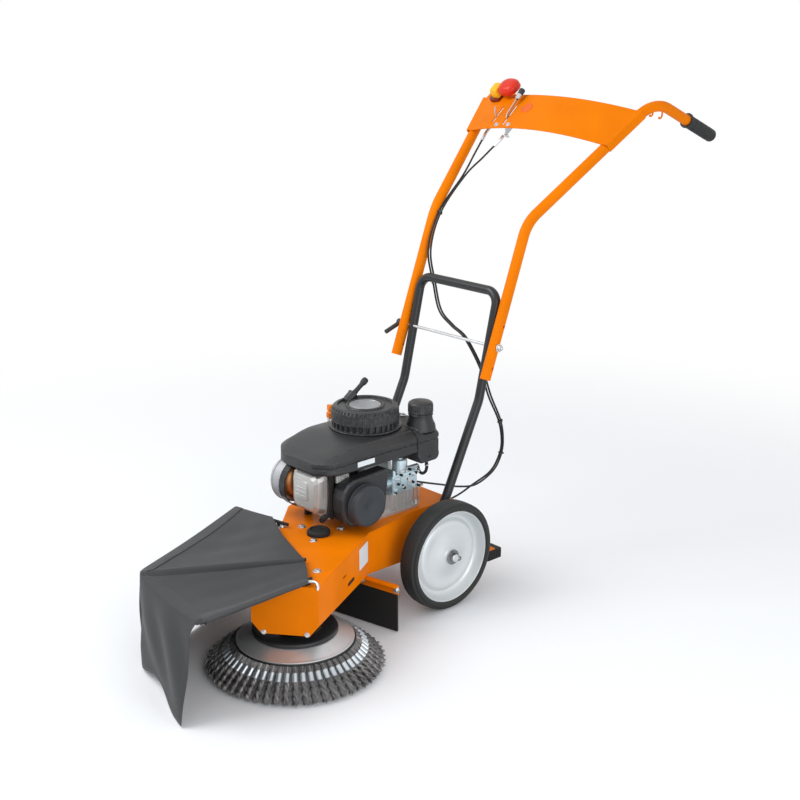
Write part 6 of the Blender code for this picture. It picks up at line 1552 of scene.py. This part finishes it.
def floor_finish(sizes):
    """Matt pale floor that fades to white away from the machine."""
    made = bpy.data.materials.new("pale_floor")
    made.use_nodes = True
    tree = made.node_tree
    shader = tree.nodes["Principled BSDF"]
    shader.inputs["Roughness"].default_value = 0.65
    shader.inputs["Specular IOR Level"].default_value = 0.2
    place = object_place(tree)
    tone = blend_colours(tree, noise(tree, place, 3.0, 2.0), tuple(sizes.floor_colour),
        tuple(c * 0.985 for c in sizes.floor_colour))
    tree.links.new(tone, shader.inputs["Base Color"])
    away = put(tree, "ShaderNodeVectorMath", {0: place}, operation="LENGTH").outputs["Value"]
    fade = put(tree, "ShaderNodeMapRange", {"Value": away, "From Min": sizes.fade_start,
        "From Max": sizes.fade_end}, interpolation_type="SMOOTHSTEP")
    seen = put(tree, "ShaderNodeLightPath", {}).outputs["Is Camera Ray"]
    shown = sums(tree, "MULTIPLY", fade.outputs["Result"], seen)
    white = put(tree, "ShaderNodeEmission", {}).outputs["Emission"]
    mix = put(tree, "ShaderNodeMixShader", {"Fac": shown, 1: shader.outputs["BSDF"], 2: white})
    tree.links.new(mix.outputs["Shader"], tree.nodes["Material Output"].inputs["Surface"])
    return made


def light_the_stage(sizes):
    """A pale world that looks white to the camera, a large soft key light and a weaker fill."""
    world = bpy.data.worlds.new("white_studio")
    bpy.context.scene.world = world
    world.use_nodes = True
    tree = world.node_tree
    seen = tree.nodes["Background"]
    seen.inputs["Color"].default_value = (1, 1, 1, 1)
    ambient = put(tree, "ShaderNodeBackground", {"Color": (0.94, 0.97, 1.0, 1),
        "Strength": sizes.world_light})
    path = put(tree, "ShaderNodeLightPath", {}).outputs
    direct = sums(tree, "MAXIMUM", path["Is Camera Ray"], path["Is Glossy Ray"])
    mix = put(tree, "ShaderNodeMixShader", {"Fac": direct, 1: ambient.outputs["Background"],
        2: seen.outputs["Background"]})
    tree.links.new(mix.outputs["Shader"], tree.nodes["World Output"].inputs["Surface"])
    for name, place, size, watts in (("key_light", (-1.3, -2.0, 3.0), 1.9, sizes.key_light),
            ("fill_light", (3.0, -0.9, 1.3), 2.4, sizes.fill_light)):
        lamp = bpy.data.lights.new(name, "AREA")
        lamp.size = size
        lamp.energy = watts
        holder = bpy.data.objects.new(name, lamp)
        holder.matrix_world = aimed(Vector(place) - Vector((0, 0, 0.4)), place)
        bpy.context.scene.collection.objects.link(holder)


def aim_camera(sizes):
    """The camera at the picture's viewing angle."""
    a, e = sizes.azimuth, sizes.elevation
    right = Vector((math.cos(a), math.sin(a), 0))
    up = Vector((-math.sin(a) * math.sin(e), math.cos(a) * math.sin(e), math.cos(e)))
    ahead = Vector((-math.sin(a) * math.cos(e), math.cos(a) * math.cos(e), -math.sin(e)))
    data = bpy.data.cameras.new("picture_camera")
    data.sensor_width = 36
    data.lens = sizes.lens
    camera = bpy.data.objects.new("picture_camera", data)
    matrix = Matrix((right, up, -ahead)).transposed().to_4x4()
    matrix.translation = on_machine(*sizes.camera_place)
    camera.matrix_world = matrix
    bpy.context.scene.collection.objects.link(camera)
    bpy.context.scene.camera = camera
    bpy.context.scene.view_settings.view_transform = "Standard"


# ---- settings a user would change


class PaintSettings(bpy.types.PropertyGroup):
    orange: FloatVectorProperty(name="Orange", description="Powder coat of the deck, tubes and console",
        subtype="COLOR", size=3, min=0, max=1, default=(0.85, 0.202, 0.001))
    black: FloatVectorProperty(name="Black", description="Powder coat of the lower handle and the boss",
        subtype="COLOR", size=3, min=0, max=1, default=(0.016, 0.017, 0.018))
    yellow: FloatVectorProperty(name="Yellow", description="Housing of the stop switch", subtype="COLOR",
        size=3, min=0, max=1, default=(0.9, 0.5, 0.01))
    red: FloatVectorProperty(name="Red", description="Stop lever", subtype="COLOR", size=3, min=0, max=1,
        default=(0.72, 0.022, 0.006))


class WheelSettings(bpy.types.PropertyGroup):
    tyre_radius: FloatProperty(name="Tyre radius", description="Outside of the solid tyre", unit="LENGTH",
        default=0.14)
    tyre_width: FloatProperty(name="Tyre width", description="Width over the side walls", unit="LENGTH",
        default=0.054)
    rim_radius: FloatProperty(name="Rim radius", description="Outside of the rim's barrel", unit="LENGTH",
        default=0.1192)
    hub_length: FloatProperty(name="Hub length", description="Length of the hub tube", unit="LENGTH",
        default=0.047)


class BrushSettings(bpy.types.PropertyGroup):
    radius: FloatProperty(name="Brush radius", description="Reach of the knots' tips", unit="LENGTH",
        default=0.21)
    ring_radius: FloatProperty(name="Ring radius", description="Where the wires leave the ring",
        unit="LENGTH", default=0.1395)
    ring_height: FloatProperty(name="Ring height", description="Middle of the ring", unit="LENGTH",
        default=0.066)
    tip_height: FloatProperty(name="Tip height", description="Height of the knots' tips", unit="LENGTH",
        default=0.0076)
    disc_top: FloatProperty(name="Disc top", description="Flat of the cover disc", unit="LENGTH",
        default=0.089)
    disc_rim: FloatProperty(name="Disc rim", description="Height of the disc's rim", unit="LENGTH",
        default=0.074)
    knots: IntProperty(name="Knots", description="Twisted knots round the ring", default=56, min=12, max=80)
    knot_width: FloatProperty(name="Knot width", description="Width of a knot", unit="LENGTH", default=0.0158)
    wire: FloatProperty(name="Wire", description="Thickness of a wire", unit="LENGTH", default=0.0017)
    strands: IntProperty(name="Strands", description="Strands wound up in a knot", default=3, min=2, max=5)
    wires: IntProperty(name="Wires", description="Wires in a strand", default=7, min=3, max=9)
    twist: FloatProperty(name="Twist", description="Turns of the strands along a knot", default=1.15)
    seed: IntProperty(name="Seed", description="Start of the wires' small differences", default=11)


class HoodSettings(bpy.types.PropertyGroup):
    height_at_deck: FloatProperty(name="Height at the deck", description="Top sheet over the rods' roots",
        unit="LENGTH", default=0.256)
    height_at_tips: FloatProperty(name="Height at the tips", description="Top sheet at the rods' tips",
        unit="LENGTH", default=0.2372)
    sag: FloatProperty(name="Sag", description="How far the top sheet hangs between the rods",
        unit="LENGTH", default=0.013)
    pleat: FloatProperty(name="Pleat", description="Depth of the fold beside the middle rod", unit="LENGTH",
        default=0.0105)
    cloth: FloatProperty(name="Cloth", description="Thickness of the coated cloth", unit="LENGTH",
        default=0.0014)


class HandleSettings(bpy.types.PropertyGroup):
    grip_length: FloatProperty(name="Grip length", description="Length of a rubber grip", unit="LENGTH",
        default=0.122)
    grip_radius: FloatProperty(name="Grip radius", description="Outside of a rubber grip", unit="LENGTH",
        default=0.0175)


class StageSettings(bpy.types.PropertyGroup):
    azimuth: FloatProperty(name="Azimuth", description="Turn of the camera about the machine",
        subtype="ANGLE", default=math.radians(47.762))
    elevation: FloatProperty(name="Elevation", description="Downward tilt of the camera", subtype="ANGLE",
        default=math.radians(17.066))
    lens: FloatProperty(name="Lens", description="Focal length in millimetres on a 36 mm sensor",
        default=61.45)
    camera_place: FloatVectorProperty(name="Camera", description="Camera's place in machine coordinates",
        subtype="TRANSLATION", size=3, default=(2.4908, -2.2228, 1.5225))
    floor_size: FloatProperty(name="Floor size", description="Side of the square floor", unit="LENGTH",
        default=60.0)
    floor_colour: FloatVectorProperty(name="Floor colour", description="Colour of the matt floor",
        subtype="COLOR", size=3, min=0, max=1, default=(0.9, 0.91, 0.925))
    fade_start: FloatProperty(name="Fade start", description="Where the floor starts to turn white",
        unit="LENGTH", default=0.9)
    fade_end: FloatProperty(name="Fade end", description="Where the floor is white", unit="LENGTH",
        default=2.6)
    world_light: FloatProperty(name="World light", description="Strength of the pale surroundings",
        default=0.76)
    key_light: FloatProperty(name="Key light", description="Power of the soft light above and to the left",
        unit="POWER", default=64.0)
    fill_light: FloatProperty(name="Fill light",
        description="Power of the soft light on the operator's left", unit="POWER", default=36.0)


SETTINGS = {
    "weed_brush_paint": PaintSettings,
    "weed_brush_wheels": WheelSettings,
    "weed_brush_brush": BrushSettings,
    "weed_brush_hood": HoodSettings,
    "weed_brush_handle": HandleSettings,
    "weed_brush_stage": StageSettings,
}


# ---- operators, one for each group of pieces


class WEEDBRUSH_OT_finishes(bpy.types.Operator):
    """Mix the finishes and put them on the solids that stay in view"""
    bl_idname = "weedbrush.finishes"
    bl_label = "Finishes"

    def execute(self, context):
        mix_finishes()
        finish_nodes()
        return {"FINISHED"}


class WEEDBRUSH_OT_wheels(bpy.types.Operator):
    """Build the tyres, the rims and the clips on the axle"""
    bl_idname = "weedbrush.wheels"
    bl_label = "Wheels"

    def execute(self, context):
        build_wheels()
        return {"FINISHED"}


class WEEDBRUSH_OT_brush(bpy.types.Operator):
    """Build the wire knots, their ring, the cover disc and the boss"""
    bl_idname = "weedbrush.brush"
    bl_label = "Wire brush"

    def execute(self, context):
        build_knots()
        build_brush_plates()
        return {"FINISHED"}


class WEEDBRUSH_OT_hood(bpy.types.Operator):
    """Stretch the hood's top sheet over its rods and hang the skirt from it"""
    bl_idname = "weedbrush.hood"
    bl_label = "Hood"

    def execute(self, context):
        build_hood()
        return {"FINISHED"}


class WEEDBRUSH_OT_handlebar(bpy.types.Operator):
    """Build the tubes, the grips and the lower handle"""
    bl_idname = "weedbrush.handlebar"
    bl_label = "Handlebar"

    def execute(self, context):
        build_tubes()
        return {"FINISHED"}


class WEEDBRUSH_OT_console(bpy.types.Operator):
    """Build the console's sheet and the parts on it"""
    bl_idname = "weedbrush.console"
    bl_label = "Console"

    def execute(self, context):
        build_console()
        build_stop_switch()
        return {"FINISHED"}


class WEEDBRUSH_OT_cables(bpy.types.Operator):
    """Lead the throttle and clutch cables"""
    bl_idname = "weedbrush.cables"
    bl_label = "Cables"

    def execute(self, context):
        build_cables()
        return {"FINISHED"}


class WEEDBRUSH_OT_engine(bpy.types.Operator):
    """Build the engine's housings, muffler, intake and small fittings"""
    bl_idname = "weedbrush.engine"
    bl_label = "Engine"

    def execute(self, context):
        build_cowl_and_tank()
        build_recoil()
        build_muffler()
        build_intake()
        build_engine_fittings()
        return {"FINISHED"}


class WEEDBRUSH_OT_fittings(bpy.types.Operator):
    """Fit the bolts, the plates on the axle and the hood's hook"""
    bl_idname = "weedbrush.fittings"
    bl_label = "Fittings"

    def execute(self, context):
        build_fittings()
        return {"FINISHED"}


class WEEDBRUSH_OT_stage(bpy.types.Operator):
    """Set the floor, the lights and the camera"""
    bl_idname = "weedbrush.stage"
    bl_label = "Stage"

    def execute(self, context):
        build_stage()
        return {"FINISHED"}


OPERATORS = (
    WEEDBRUSH_OT_finishes,
    WEEDBRUSH_OT_wheels,
    WEEDBRUSH_OT_brush,
    WEEDBRUSH_OT_hood,
    WEEDBRUSH_OT_handlebar,
    WEEDBRUSH_OT_console,
    WEEDBRUSH_OT_cables,
    WEEDBRUSH_OT_engine,
    WEEDBRUSH_OT_fittings,
    WEEDBRUSH_OT_stage,
)


class WEEDBRUSH_PT_panel(bpy.types.Panel):
    """Steps that dress the machine, in order"""
    bl_label = "Weed brush"
    bl_idname = "WEEDBRUSH_PT_panel"
    bl_space_type = "VIEW_3D"
    bl_region_type = "UI"
    bl_category = "Weed brush"

    def draw(self, context):
        for operator in OPERATORS:
            self.layout.operator(operator.bl_idname)


def register():
    for name, group in SETTINGS.items():
        bpy.utils.register_class(group)
        setattr(bpy.types.Scene, name, PointerProperty(type=group))
    for operator in OPERATORS:
        bpy.utils.register_class(operator)
    bpy.utils.register_class(WEEDBRUSH_PT_panel)


def unregister():
    bpy.utils.unregister_class(WEEDBRUSH_PT_panel)
    for operator in reversed(OPERATORS):
        bpy.utils.unregister_class(operator)
    for name, group in SETTINGS.items():
        delattr(bpy.types.Scene, name)
        bpy.utils.unregister_class(group)


def main():
    register()
    for operator in OPERATORS:
        step = operator.bl_idname.split(".")[1]
        getattr(bpy.ops.weedbrush, step)()


if __name__ == "__main__":
    main()
